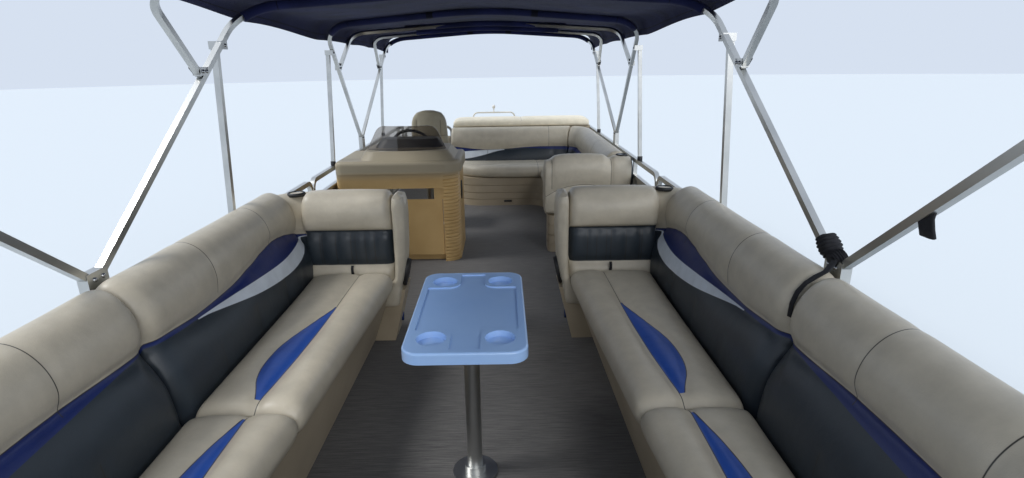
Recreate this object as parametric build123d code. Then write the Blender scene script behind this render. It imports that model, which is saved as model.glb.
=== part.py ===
from build123d import *
import math
import os

# Pontoon boat, millimetres. x runs to port, y runs aft from the deck's front edge,
# z runs up from the underside of the keels. The model is centred along y at the end.

# Hull
BEAM = 2590
DECK_LENGTH = 8330
TUBE_RADIUS = 310
TUBE_SPACING = BEAM - 680
TUBE_START = 90
TUBE_SETBACK = 60
NOSE_LENGTH = 1150
NOSE_RISE = 0.62
KEEL_HEIGHT = 12
KEEL_WIDTH = 50
STRAKE_ANGLE = 35
STRAKE_REACH = 24
STRAKE_SPREAD = 4
BRACKET_HEIGHT = 38
BRACKET_WIDTH = 150
BRACKET_WALL = 6
MEMBER_HEIGHT = 76
MEMBER_FLANGE = 38
MEMBER_WALL = 5
MEMBER_COUNT = 20
MEMBER_INSET = 130
DECK_PANEL = 16
FLOOR_COVER = 3
TRIM_WIDTH = 22
TRIM_LIP = 3
EYE_RADIUS = 12
EYE_PLATE = 10
EYE_REACH = 60
BOW_CORNER = 300
STERN_CORNER = 60
JOINT_GAP = 1

# Fence and gates
RAIL = 32
FENCE_X = BEAM / 2 - 45
FENCE_HEIGHT = 811
FENCE_FOOT = 30
FENCE_BOW = 630
FENCE_STERN = DECK_LENGTH - 414
FENCE_CORNER = 90
RAIL_OPENING = 105
POST_PITCH = 760
SKIN = 3
SIDE_GATE_END = DECK_LENGTH - 4040
SIDE_GATE_START = SIDE_GATE_END - 650
BOW_GATE_WIDTH = 760
STERN_GATE_START = 70 - FENCE_X
STERN_GATE_END = STERN_GATE_START + 660
GATE_GAP = 8
GATE_FLOOR_GAP = 60
HINGE_RADIUS = 7
HINGE_LENGTH = 34
HINGE_HEIGHTS = (200, 620)
SEAT_GAP = 0.3

# Seating
SEAT_TOP = 458
SEAT_CUSHION = 132
BACK_TOP = 925
BACK_OUTER = FENCE_X - 20
BACK_FACE = BACK_OUTER - 250
BACK_ROLL = 90
SIDE_LEAN = 65
END_LEAN = 12
LOUNGE_LEAN = 40
KNEE_LOW = 0.22
KNEE_HIGH = 0.58
SETTEE_START = 780
SETTEE_SEAM = 1980
SETTEE_END = SIDE_GATE_START - 285
SEAT_DEPTHS = (280, 390, 475)
SEAT_ROUND = 45
FOOT_INSETS = (80, 95, 150)
BASE_INSET = 30
END_BACK_DEPTH = 205
END_BACK_INNER = BACK_FACE - 560
END_BOLSTER = 80
END_BACK_TOP = 875
LOUNGE_START = DECK_LENGTH - 3350
LOUNGE_END_DEPTH = 215
LOUNGE_TOP = 840
LOUNGE_INNER = BACK_FACE - 420
LOUNGE_END_INNER = LOUNGE_INNER - 75
SUNDECK_END = FENCE_STERN - RAIL / 2 - 20
BENCH_BACK = SUNDECK_END - 680
BENCH_FRONT = BENCH_BACK - 520
BENCH_START = STERN_GATE_END + 30
BENCH_CORNER = 380
BENCH_INSET = 40
BENCH_BEND = 180
BENCH_GROOVES = (72, 150, 235)
BENCH_GROOVE = 8
SUNPAD_TOP = 930
SUNPAD_THICKNESS = 95
CUSHION_GAP = 4

# Helm
CONSOLE_OUTER = 30 - FENCE_X
CONSOLE_INNER = CONSOLE_OUTER + 988
CONSOLE_FRONT = SIDE_GATE_END + 490
CONSOLE_BACK = CONSOLE_FRONT + 650
CONSOLE_WALL = 14
CONSOLE_CORNER = 110
CONSOLE_BAND = 751
CONSOLE_LIP = 101
CONSOLE_OVERHANG = 22
HOOD_RISE = 64
COLUMN_RIBS = 26
COLUMN_RUN = 120
RIB_DEPTH = 7
RIB_HALF = 8
PANEL_RECESS = 16
PANEL_MARGIN = 60
SILL_THICKNESS = 6
LIP_ROUND = 32
PLINTH_SETBACK = 60
DOOR_START = CONSOLE_OUTER + 166
DOOR_END = CONSOLE_INNER - 131
SLOT_END = DOOR_END - 70
DOOR_BOTTOM = 62
DOOR_TOP = 532
SLOT_TOP = 627
DOOR_GAP = 4
DOOR_HINGE_HEIGHTS = (110, 400)
SCREEN_THICKNESS = 5
SCREEN_HEIGHT = 190
SCREEN_RADIUS = 520
SCREEN_LEAN = 95
SCREEN_HALF = 330
DASH_HEIGHT = 66
WHEEL_X = CONSOLE_OUTER + 520
WHEEL_RADIUS = 185
WHEEL_RIM = 13
WHEEL_TILT = 32
CHAIR_X = CONSOLE_OUTER + 610
CHAIR_Y = CONSOLE_BACK + 505
CHAIR_SEAT_TOP = 600
CHAIR_BACK_TOP = 1150
CHAIR_WIDTH = 480
CHAIR_BACK_WIDTH = 350

# Table
TABLE_Y = 2200
TABLE_WIDTH = 406
TABLE_LENGTH = 711
TABLE_TOP = 728
TABLE_THICKNESS = 40
TABLE_CORNER = 60
TABLE_RIM = 28
TABLE_RECESS = 5
CUP_RADIUS = 50
CUP_DEPTH = 22
CUP_X = 113
CUP_Y = 252
LEG_RADIUS = 30.5
LEG_FLANGE_RADIUS = 90

# Canopy frame
BOW_TUBE = 26
STAY_TUBE = 28
STAY_FOOT = 30
STAY_GAP = 0.5
BOW_CORNER_RADIUS = 240
ARM_CORNER_RADIUS = 140
BOW_SHOULDER = 85
CROWN_RADIUS = 2500
FRAME_SHARE = 0.475
FRAME_STATIONS = (FENCE_BOW + FRAME_SHARE * (SIDE_GATE_START - FENCE_BOW), DECK_LENGTH - 2450)
FRAME_PIVOT = 915
FRAME_REACH = 1300
FRAME_CROWN = 1950
FRAME_LEAN = 100
ARM_HINGE = 0.62
STAY_HINGE = 0.76
ARM_REACH = 320
ARM_OFFSET = 34
ARM_DROP = 15
CANOPY_START = FRAME_STATIONS[0] - 1230
CANOPY_END = FRAME_STATIONS[1] + 1250
CANOPY_THICKNESS = 6
CLIP_HALF = 18
PIVOT_BLOCK = 50
CANOPY_EDGE = 1720
CANOPY_FLARE = 10
CANOPY_CORNER = 120
CANOPY_GAP = 0.5

# Outboard motor
TRANSOM_SETBACK = 200
TRANSOM_THICKNESS = 50
TRANSOM_TOP = 785
POD_HALF_WIDTH = 330
POD_LENGTH = 1580
TILT_PARKED = 64
TILT_TUBE = 14
TILT_RISE = 55
TILT_SETBACK = 25
CLAMP_INNER = 95
CLAMP_WALL = 30
STEER_SETBACK = 110
STEER_RADIUS = 40
PLATE_DROP = 608
PROP_DROP = 200
PROP_RADIUS = 178
PROP_HUB = 52
GEARCASE_RADIUS = 58
COWL_HALF_WIDTH = 190
COWL_HEIGHT = 500
COWL_LENGTH = 520
RUNNING_GAP = 0.05

# Ladder
LADDER_START = STERN_GATE_START + 150
LADDER_END = LADDER_START + 340
LADDER_LENGTH = 740
LADDER_TUBE = 12.5
LADDER_LEAN = 6
LADDER_STEPS = 3

# Levels and stations that follow from the sizes above
TUBE_X = TUBE_SPACING / 2
TUBE_Z = KEEL_HEIGHT + TUBE_RADIUS
TUBE_END = DECK_LENGTH - TUBE_SETBACK
TUBE_TOP = TUBE_Z + TUBE_RADIUS
MEMBER_Z = TUBE_TOP + BRACKET_HEIGHT
PANEL_Z = MEMBER_Z + MEMBER_HEIGHT
DECK = PANEL_Z + DECK_PANEL + FLOOR_COVER
RAIL_HALF = RAIL / 2
TRANSOM_Y = DECK_LENGTH + TRANSOM_SETBACK
TILT_Y = TRANSOM_Y - TILT_SETBACK
TILT_Z = TRANSOM_TOP + TILT_RISE
STEER_Y = TILT_Y + STEER_SETBACK
PROP_Z = TILT_Z - PLATE_DROP - PROP_DROP
LADDER_Y = DECK_LENGTH + 24
LADDER_Z = DECK + 24


def outline(*corners):
    """Closed flat face from (u, v, corner radius) rows."""
    path = FilletPolyline([row[:2] for row in corners], radius=[row[2] for row in corners], close=True)
    return make_face(path)


def prism_x(face, x0, x1):
    """Extrude a face drawn in (y, z) from x0 to x1."""
    return extrude(Plane((x0, 0, 0), x_dir=(0, 1, 0), z_dir=(1, 0, 0)) * face, x1 - x0)


def prism_y(face, y0, y1):
    """Extrude a face drawn in (x, z) from y0 to y1."""
    return extrude(Plane((0, y1, 0), x_dir=(1, 0, 0), z_dir=(0, -1, 0)) * face, y1 - y0)


def prism_z(face, z0, z1):
    """Extrude a face drawn in (x, y) from z0 to z1."""
    return extrude(Pos(0, 0, z0) * face, z1 - z0)


def block(x0, x1, y0, y1, z0, z1):
    """Plain block between two corners."""
    return Pos((x0 + x1) / 2, (y0 + y1) / 2, (z0 + z1) / 2) * Box(x1 - x0, y1 - y0, z1 - z0)


def rectangle(u0, u1, v0, v1, radius=0):
    """Rectangle between two corners, with all corners rounded alike."""
    return outline((u0, v0, radius), (u1, v0, radius), (u1, v1, radius), (u0, v1, radius))


def post(x, y, z0, z1, radius):
    """Round upright."""
    return Pos(x, y, (z0 + z1) / 2) * Cylinder(radius, z1 - z0)


def to_starboard(shape):
    """The same piece on the other side of the boat."""
    return mirror(shape, about=Plane.YZ)


def pontoon():
    """One tube with its upswept nose, keel strip and lifting strakes, at the port side."""
    # (share of the nose from its tip, share of the radius, rise of the axis in radii)
    sections = ((0.0, 0.14, NOSE_RISE), (0.22, 0.5, 0.4), (0.55, 0.82, 0.16), (1.0, 1.0, 0.0))
    nose_end = TUBE_START + NOSE_LENGTH
    rings = []
    for along, size, rise in sections:
        centre = (TUBE_X, TUBE_START + along * NOSE_LENGTH, TUBE_Z + rise * TUBE_RADIUS)
        plane = Plane(centre, x_dir=(1, 0, 0), z_dir=(0, 1, 0))
        rings.append(plane * Circle(size * TUBE_RADIUS))
    barrel = prism_y(Pos(TUBE_X, TUBE_Z) * Circle(TUBE_RADIUS), nose_end, TUBE_END)
    keel = block(TUBE_X - KEEL_WIDTH / 2, TUBE_X + KEEL_WIDTH / 2, nose_end, TUBE_END, 0, KEEL_HEIGHT * 2)
    tube = loft(rings) + barrel + keel
    for side in (-1, 1):
        tube += prism_y(strake(side), nose_end, TUBE_END)
    return tube


def strake(side):
    """Section of the lifting strake low on one side of the port tube."""
    corners = []
    for turn, reach in ((-STRAKE_SPREAD, -4), (0, STRAKE_REACH), (STRAKE_SPREAD, -4)):
        angle = math.radians(STRAKE_ANGLE + turn)
        radius = TUBE_RADIUS + reach
        corners.append((TUBE_X + side * radius * math.cos(angle), TUBE_Z - radius * math.sin(angle), 0))
    return outline(*corners)


def tow_eye():
    """Station and height of the tow eye's hole, ahead of the tube's nose."""
    return TUBE_START - EYE_REACH / 2 - 4, TUBE_Z + NOSE_RISE * TUBE_RADIUS


def tow_plate():
    """Plate with the tow eye, welded to the tip of the port nose."""
    y, z = tow_eye()
    plate = prism_x(outline((TUBE_START - EYE_REACH, z - 26, 20), (TUBE_START, z - 34, 0),
                            (TUBE_START, z + 34, 0), (TUBE_START - EYE_REACH, z + 26, 20)),
                    TUBE_X - EYE_PLATE / 2, TUBE_X + EYE_PLATE / 2)
    return plate - Pos(TUBE_X, y, z) * Rot(0, 90, 0) * Cylinder(EYE_RADIUS, 4 * EYE_PLATE)


def deck_bracket():
    """Extruded riser on the port tube; its legs are cut to the tube's curve."""
    half = BRACKET_WIDTH / 2
    leg = half * 0.8
    top = MEMBER_Z - BRACKET_WALL
    low = TUBE_Z + TUBE_RADIUS / 2
    shape = rectangle(TUBE_X - half, TUBE_X + half, top, MEMBER_Z)
    for side in (-1, 1):
        middle = TUBE_X + side * leg
        shape += rectangle(middle - BRACKET_WALL / 2, middle + BRACKET_WALL / 2, low, MEMBER_Z)
    shape -= Pos(TUBE_X, TUBE_Z) * Circle(TUBE_RADIUS)
    return prism_y(shape, TUBE_START + NOSE_LENGTH, TUBE_END)


def cross_members():
    """C channels across the boat, evenly spaced under the deck."""
    half = BEAM / 2 - TRIM_WIDTH
    pitch = (DECK_LENGTH - 2 * MEMBER_INSET) / (MEMBER_COUNT - 1)
    plan = prism_z(deck_plan(TRIM_WIDTH), MEMBER_Z, PANEL_Z)
    members = []
    for index in range(MEMBER_COUNT):
        y = MEMBER_INSET + index * pitch
        channel = rectangle(y, y + MEMBER_FLANGE, MEMBER_Z, PANEL_Z)
        inner = rectangle(y + MEMBER_WALL, y + MEMBER_FLANGE + 1, MEMBER_Z + MEMBER_WALL,
                          PANEL_Z - MEMBER_WALL)
        members.append(prism_x(channel - inner, -half, half) & plan)
    return members


def deck_plan(inset):
    """Plan of the deck: rounded bow corners, small stern corners."""
    half = BEAM / 2 - inset
    bow, stern = BOW_CORNER - inset, STERN_CORNER - inset
    return outline((-half, inset, bow), (half, inset, bow),
                   (half, DECK_LENGTH - inset, stern), (-half, DECK_LENGTH - inset, stern))


def deck_trim():
    """Rub rail round the deck in four lengths with joints near the corners."""
    ring = prism_z(deck_plan(0) - deck_plan(TRIM_WIDTH), MEMBER_Z, DECK + TRIM_LIP)
    cuts = (0, BOW_CORNER, DECK_LENGTH - STERN_CORNER, DECK_LENGTH)
    half = BEAM / 2
    lengths = []
    for fore, aft in zip(cuts, cuts[1:]):
        piece = ring & block(-half, half, fore + JOINT_GAP, aft - JOINT_GAP * (aft < DECK_LENGTH), 0,
                             DECK + 100)
        lengths.extend(piece.solids())
    return lengths


def hull():
    tube = pontoon()
    bracket = deck_bracket()
    pod_start = TRANSOM_Y - POD_LENGTH
    pod = outline((pod_start, MEMBER_Z, 0), (pod_start + 330, 300, 90), (TRANSOM_Y, 240, 30),
                  (TRANSOM_Y, TRANSOM_TOP, 0), (TRANSOM_Y - TRANSOM_THICKNESS, TRANSOM_TOP, 0),
                  (TRANSOM_Y - TRANSOM_THICKNESS, MEMBER_Z, 0))
    return {
        "pontoon_port": [tube],
        "pontoon_starboard": [to_starboard(tube)],
        "tow_eyes": [tow_plate(), to_starboard(tow_plate())],
        "deck_brackets": [bracket, to_starboard(bracket)],
        "cross_members": cross_members(),
        "deck_panel": [prism_z(deck_plan(TRIM_WIDTH), PANEL_Z, PANEL_Z + DECK_PANEL)],
        "floor_cover": [prism_z(deck_plan(TRIM_WIDTH), PANEL_Z + DECK_PANEL, DECK)],
        "deck_trim": deck_trim(),
        "motor_pod": [prism_x(pod, -POD_HALF_WIDTH, POD_HALF_WIDTH)],
    }


def sheet_top():
    """Height of the rail that the sheets reach, under the open band below the top rail."""
    return DECK + FENCE_HEIGHT - RAIL - RAIL_OPENING


def fence_face(start, end, bottom, radii):
    """Welded square-tube frame in its own plane; radii round the upper start and end corners."""
    top = DECK + FENCE_HEIGHT
    waist = sheet_top()
    count = max(1, round((end - start) / POST_PITCH))
    frame = outline((start, bottom, 0), (end, bottom, 0), (end, top, radii[1]), (start, top, radii[0]))
    bay = (end - start - RAIL) / count
    for index in range(count):
        left = start + RAIL + index * bay
        right = left + bay - RAIL
        # only the opening beside a rounded corner follows its curve
        first = max(radii[0] - RAIL, 0) if index == 0 else 0
        last = max(radii[1] - RAIL, 0) if index == count - 1 else 0
        frame -= rectangle(left, right, bottom + RAIL, waist - RAIL)
        frame -= outline((left, waist, 0), (right, waist, 0), (right, top - RAIL, last),
                         (left, top - RAIL, first))
    return frame


def fence_feet(start, end):
    """Short feet under the two ends and the middle of a fence frame."""
    width = 1.5 * RAIL
    middle = (start + end - width) / 2
    feet = [rectangle(left, left + width, DECK, DECK + FENCE_FOOT)
            for left in (start, middle, end - width)]
    return feet[0] + feet[1] + feet[2]


def fence_panel(start, end, bottom):
    """Sheet that closes a frame below its open band, 4 mm inside its outline."""
    inset = 4
    return rectangle(start + inset, end - inset, bottom + inset, sheet_top() - inset)


def knuckle(x, y, height, upper):
    """One barrel of a hinge, the fixed one below and the gate's above it."""
    base = DECK + height + (HINGE_LENGTH + SEAT_GAP if upper else 0)
    return post(x, y, base, base + HINGE_LENGTH, HINGE_RADIUS)


def side_fences():
    """Fore and aft fence frames, panels and the hinged gate on the port side."""
    inner, outer = FENCE_X - RAIL_HALF, FENCE_X + RAIL_HALF
    bottom = DECK + FENCE_FOOT
    fore = (FENCE_BOW + RAIL_HALF, SIDE_GATE_START, (0, FENCE_CORNER))
    aft = (SIDE_GATE_END, FENCE_STERN - RAIL_HALF, (FENCE_CORNER, 0))
    frames, panels = [], []
    for start, end, radii in (fore, aft):
        face = fence_face(start, end, bottom, radii) + fence_feet(start, end)
        frames.append(prism_x(face, inner, outer))
        panels.append(prism_x(fence_panel(start, end, bottom), outer, outer + SKIN))
    start, end = SIDE_GATE_START + GATE_GAP, SIDE_GATE_END - GATE_GAP
    low = DECK + GATE_FLOOR_GAP
    radii = (FENCE_CORNER, FENCE_CORNER)
    gate = prism_x(fence_face(start, end, low, radii), inner, outer)
    gate += prism_x(fence_panel(start, end, low), outer - SKIN, outer)
    pin_x, pin_y = inner - HINGE_RADIUS - 1, SIDE_GATE_START + GATE_GAP / 2
    for height in HINGE_HEIGHTS:
        base = DECK + height
        split_z = base + HINGE_LENGTH
        frames[0] += knuckle(pin_x, pin_y, height, False)
        frames[0] += block(pin_x - 2, inner + 2, pin_y - 20, pin_y - 2, base, split_z)
        gate += knuckle(pin_x, pin_y, height, True)
        gate += block(pin_x - 2, inner + 2, pin_y + 4, pin_y + 22, split_z + SEAT_GAP,
                      split_z + SEAT_GAP + HINGE_LENGTH)
    return frames, panels, gate


def cross_fence(y, start, end, facing):
    """Frame and panel across the boat at station y; facing is -1 for the bow, 1 for the stern."""
    bottom = DECK + FENCE_FOOT
    frame = prism_y(fence_face(start, end, bottom, (0, 0)) + fence_feet(start, end),
                    y - RAIL_HALF, y + RAIL_HALF)
    skin_y = y + facing * (RAIL_HALF + SKIN / 2)
    panel = prism_y(fence_panel(start, end, bottom), skin_y - SKIN / 2, skin_y + SKIN / 2)
    return frame, panel


def cross_gate(y, start, end, facing):
    """Gate across the boat, hung on the frame at its start edge, and that frame's knuckles."""
    low = DECK + GATE_FLOOR_GAP
    first, last = start + GATE_GAP, end - GATE_GAP
    inside = y - facing * RAIL_HALF
    radii = (FENCE_CORNER, FENCE_CORNER)
    gate = prism_y(fence_face(first, last, low, radii), y - RAIL_HALF, y + RAIL_HALF)
    skin_y = y + facing * (RAIL_HALF - SKIN / 2)
    gate += prism_y(fence_panel(first, last, low), skin_y - SKIN / 2, skin_y + SKIN / 2)
    pin_x, pin_y = start + GATE_GAP / 2, inside - facing * (HINGE_RADIUS + 1)
    near, far = sorted((pin_y - facing * 2, inside + facing * 2))
    fixed = []
    for height in HINGE_HEIGHTS:
        base = DECK + height
        split_z = base + HINGE_LENGTH
        fixed.append(knuckle(pin_x, pin_y, height, False))
        fixed.append(block(pin_x - 20, pin_x - 2, near, far, base, split_z))
        gate += knuckle(pin_x, pin_y, height, True)
        gate += block(pin_x + 4, pin_x + 22, near, far, split_z + SEAT_GAP,
                      split_z + SEAT_GAP + HINGE_LENGTH)
    return gate, fixed


def fences():
    frames, panels, gate = side_fences()
    gate_half = BOW_GATE_WIDTH / 2
    corner = FENCE_X + RAIL_HALF
    bow_gate, bow_knuckles = cross_gate(FENCE_BOW, -gate_half, gate_half, -1)
    stern_gate, stern_knuckles = cross_gate(FENCE_STERN, STERN_GATE_START, STERN_GATE_END, 1)
    bow_left, bow_left_skin = cross_fence(FENCE_BOW, -corner, -gate_half, -1)
    bow_right, bow_right_skin = cross_fence(FENCE_BOW, gate_half, corner, -1)
    stern_left, _ = cross_fence(FENCE_STERN, -corner, STERN_GATE_START, 1)
    stern_right, stern_skin = cross_fence(FENCE_STERN, STERN_GATE_END, corner, 1)
    for piece in bow_knuckles:
        bow_left += piece
    for piece in stern_knuckles:
        stern_left += piece
    return {
        "fence_port": frames,
        "fence_starboard": [to_starboard(frame) for frame in frames],
        "fence_bow": [bow_left, bow_right],
        "fence_stern": [stern_left, stern_right],
        "fence_panels": (panels + [to_starboard(panel) for panel in panels]
                         + [bow_left_skin, bow_right_skin, stern_skin]),
        "gate_port": [gate],
        "gate_starboard": [to_starboard(gate)],
        "gate_bow": [bow_gate],
        "gate_stern": [stern_gate],
    }


def tapered(sections):
    """Straight-sided loft through (y, outline in x and z) stations."""
    faces = []
    for y, face in sections:
        faces.append(Plane((0, y, 0), x_dir=(1, 0, 0), z_dir=(0, -1, 0)) * face)
    return loft(faces, ruled=True)


def settee():
    """Bow settee on the port side: moulded base, cushions, side back, corner and end back."""
    base_top = DECK + SEAT_TOP - SEAT_CUSHION
    seat_top = DECK + SEAT_TOP
    # (station, inner edge of the seat, inner edge of the base at the floor)
    edges = [(y, BACK_FACE - depth, BACK_FACE - depth + inset)
             for y, depth, inset in zip((SETTEE_START, SETTEE_SEAM, SETTEE_END), SEAT_DEPTHS, FOOT_INSETS)]
    base_stations, cushions = [], []
    for y, seat_edge, foot in edges:
        base_stations.append((y, outline((foot, DECK, 0), (BACK_OUTER, DECK, 0), (BACK_OUTER, base_top, 0),
                                         (seat_edge + BASE_INSET, base_top, 0))))
    for (fore, near, _), (aft, far, _) in zip(edges, edges[1:]):
        faces = [(y, outline((edge, base_top, 30), (BACK_FACE, base_top, 0), (BACK_FACE, seat_top, 30),
                             (edge, seat_top, SEAT_ROUND)))
                 for y, edge in ((fore + CUSHION_GAP, near), (aft - CUSHION_GAP, far))]
        cushions.append(tapered(faces))
    foot_end = outline((END_BACK_INNER + END_BOLSTER + BASE_INSET, DECK, 0), (BACK_OUTER, DECK, 0),
                       (BACK_OUTER, base_top, 0), (END_BACK_INNER + BASE_INSET, base_top, 0))
    end_base = tapered([(SETTEE_END, foot_end), (SETTEE_END + END_BACK_DEPTH, foot_end)])
    base = tapered(base_stations) + end_base
    profile = back_profile(BACK_FACE, BACK_OUTER, base_top, DECK + BACK_TOP, SIDE_LEAN)
    halves = [prism_y(profile, SETTEE_START + CUSHION_GAP, SETTEE_SEAM - CUSHION_GAP),
              prism_y(profile, SETTEE_SEAM + CUSHION_GAP, SETTEE_END)]
    corner_axis = Axis((BACK_FACE, SETTEE_END, 0), (0, 0, 1))
    corner_face = Plane((0, SETTEE_END, 0), x_dir=(1, 0, 0), z_dir=(0, -1, 0)) * profile
    corner = revolve(corner_face, axis=corner_axis, revolution_arc=90)
    halves[1] += corner
    end_profile = back_profile(SETTEE_END, SETTEE_END + END_BACK_DEPTH, base_top, DECK + END_BACK_TOP,
                               END_LEAN)
    end_back = prism_x(end_profile, END_BACK_INNER + END_BOLSTER + CUSHION_GAP, BACK_FACE - CUSHION_GAP)
    bolster = prism_x(outline((SETTEE_END - 20, base_top, 30), (SETTEE_END + END_BACK_DEPTH, base_top, 30),
                              (SETTEE_END + END_BACK_DEPTH, DECK + END_BACK_TOP - 15, 60),
                              (SETTEE_END - 20, DECK + END_BACK_TOP - 15, 60)),
                      END_BACK_INNER, END_BACK_INNER + END_BOLSTER)
    return {"bases": [base], "seats": cushions, "backs": halves, "end_backs": [end_back, bolster]}


def back_profile(face, outer, bottom, top, lean):
    """Backrest section: upright outer side, rolled top, front that leans back between its two knees."""
    low = bottom + KNEE_LOW * (top - bottom)
    high = bottom + KNEE_HIGH * (top - bottom)
    return outline((face, bottom, 10), (outer, bottom, 10), (outer, top, BACK_ROLL),
                   (face + lean, top, BACK_ROLL - 10), (face + lean, high, 25), (face, low, 25))


def settees():
    return {f"settee_{name}": solids + [to_starboard(solid) for solid in solids]
            for name, solids in settee().items()}


def lounge():
    """L-shaped lounge across the stern and along the port side, with the sun deck behind it."""
    base_top = DECK + SEAT_TOP - SEAT_CUSHION
    seat_top = DECK + SEAT_TOP
    port_start = LOUNGE_START + LOUNGE_END_DEPTH
    start, front, inner = BENCH_START + BENCH_INSET, BENCH_FRONT + BENCH_INSET, LOUNGE_INNER + BENCH_INSET
    floor_plan = outline((start, front, BENCH_CORNER - BENCH_INSET), (inner, front, BENCH_BEND),
                         (inner, port_start, 30), (LOUNGE_END_INNER + BASE_INSET, port_start, 40),
                         (LOUNGE_END_INNER + BASE_INSET, LOUNGE_START, 50), (BACK_OUTER, LOUNGE_START, 0),
                         (BACK_OUTER, SUNDECK_END, 0), (start, SUNDECK_END, 0))
    base = prism_z(floor_plan, DECK, base_top)
    core = offset(floor_plan, amount=-BENCH_GROOVE)
    for height in BENCH_GROOVES:
        base -= prism_z(floor_plan - core, DECK + height, DECK + height + BENCH_GROOVE)
    bench_seat = prism_z(outline((BENCH_START, BENCH_FRONT, BENCH_CORNER), (BACK_FACE, BENCH_FRONT, 0),
                                 (BACK_FACE, BENCH_BACK, 0), (BENCH_START, BENCH_BACK, 0)),
                         base_top, seat_top)
    port_seat = prism_z(rectangle(LOUNGE_INNER, BACK_FACE, port_start + CUSHION_GAP,
                                  BENCH_FRONT - CUSHION_GAP), base_top, seat_top)
    profile = back_profile(BACK_FACE, BACK_OUTER, base_top, DECK + LOUNGE_TOP, LOUNGE_LEAN)
    port_back = prism_y(profile, port_start + CUSHION_GAP, BENCH_BACK)
    corner_face = Plane((0, BENCH_BACK, 0), x_dir=(1, 0, 0), z_dir=(0, -1, 0)) * profile
    corner = revolve(corner_face, axis=Axis((BACK_FACE, BENCH_BACK, 0), (0, 0, 1)), revolution_arc=90)
    depth = BACK_OUTER - BACK_FACE
    stern_profile = back_profile(BENCH_BACK, BENCH_BACK + depth, base_top, DECK + LOUNGE_TOP, LOUNGE_LEAN)
    stern_back = prism_x(stern_profile, BENCH_START, BACK_FACE - CUSHION_GAP)
    end_profile = outline((LOUNGE_START, base_top, 10), (port_start, base_top, 10),
                          (port_start, DECK + LOUNGE_TOP, 90), (LOUNGE_START, DECK + LOUNGE_TOP, 70))
    end_back = prism_x(end_profile, LOUNGE_END_INNER, BACK_OUTER)
    deck_start = BENCH_BACK + depth + CUSHION_GAP
    pad_bottom = DECK + SUNPAD_TOP - SUNPAD_THICKNESS
    sundeck = block(start, BACK_OUTER, deck_start, SUNDECK_END, base_top, pad_bottom)
    pad = prism_z(rectangle(BENCH_START, BACK_OUTER, deck_start - 60, SUNDECK_END, 60),
                  pad_bottom, DECK + SUNPAD_TOP)
    pad -= block(BENCH_START - 10, BACK_OUTER + 10, deck_start - 70, deck_start, 0, DECK + LOUNGE_TOP + 5)
    return {
        "lounge_base": [base],
        "lounge_seats": [bench_seat, port_seat],
        "lounge_backs": [port_back + corner, stern_back],
        "lounge_end_back": [end_back],
        "sundeck_base": [sundeck],
        "sunpad": [pad],
    }


def door_pin():
    """Axis of the console door's hinge, ahead of the door's face at its outboard edge."""
    return DOOR_START + DOOR_GAP / 2, CONSOLE_FRONT + PANEL_RECESS - HINGE_RADIUS - 1


def column_grooves():
    """V grooves between the console column's ribs: round its corner and out along both faces."""
    corner_x, corner_y = CONSOLE_INNER - CONSOLE_CORNER, CONSOLE_FRONT + CONSOLE_CORNER
    pitch = CONSOLE_BAND / COLUMN_RIBS
    # rows of (distance out of the surface, height); the spine of the comb lies clear of the body
    comb = [(2, DECK + CONSOLE_BAND), (2, DECK)]
    for index in range(1, COLUMN_RIBS):
        z = DECK + index * pitch
        comb += [(0.5, z - RIB_HALF), (-RIB_DEPTH, z), (0.5, z + RIB_HALF)]
    round_face = Plane((corner_x, corner_y, 0), x_dir=(1, 0, 0), z_dir=(0, -1, 0)) * make_face(
        Polyline(*[(CONSOLE_CORNER + out, z) for out, z in comb], close=True))
    front_face = make_face(Polyline(*[(CONSOLE_FRONT - out, z) for out, z in comb], close=True))
    side_face = make_face(Polyline(*[(CONSOLE_INNER + out, z) for out, z in comb], close=True))
    corner = revolve(round_face, axis=Axis((corner_x, corner_y, 0), (0, 0, -1)), revolution_arc=90)
    return [corner, prism_x(front_face, DOOR_END + DOOR_GAP + RIB_DEPTH, corner_x),
            prism_y(side_face, corner_y, corner_y + COLUMN_RUN)]


def console_hood(lip):
    """Raised part of the console's top, under the screen."""
    low = rectangle(CONSOLE_OUTER + 190, CONSOLE_INNER - 30, CONSOLE_FRONT + 15, CONSOLE_BACK - 10, 110)
    high = rectangle(CONSOLE_OUTER + 215, CONSOLE_INNER - 85, CONSOLE_FRONT + 80, CONSOLE_BACK - 60, 110)
    return loft([Pos(0, 0, lip) * low, Pos(0, 0, lip + HOOD_RISE) * high])


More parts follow.
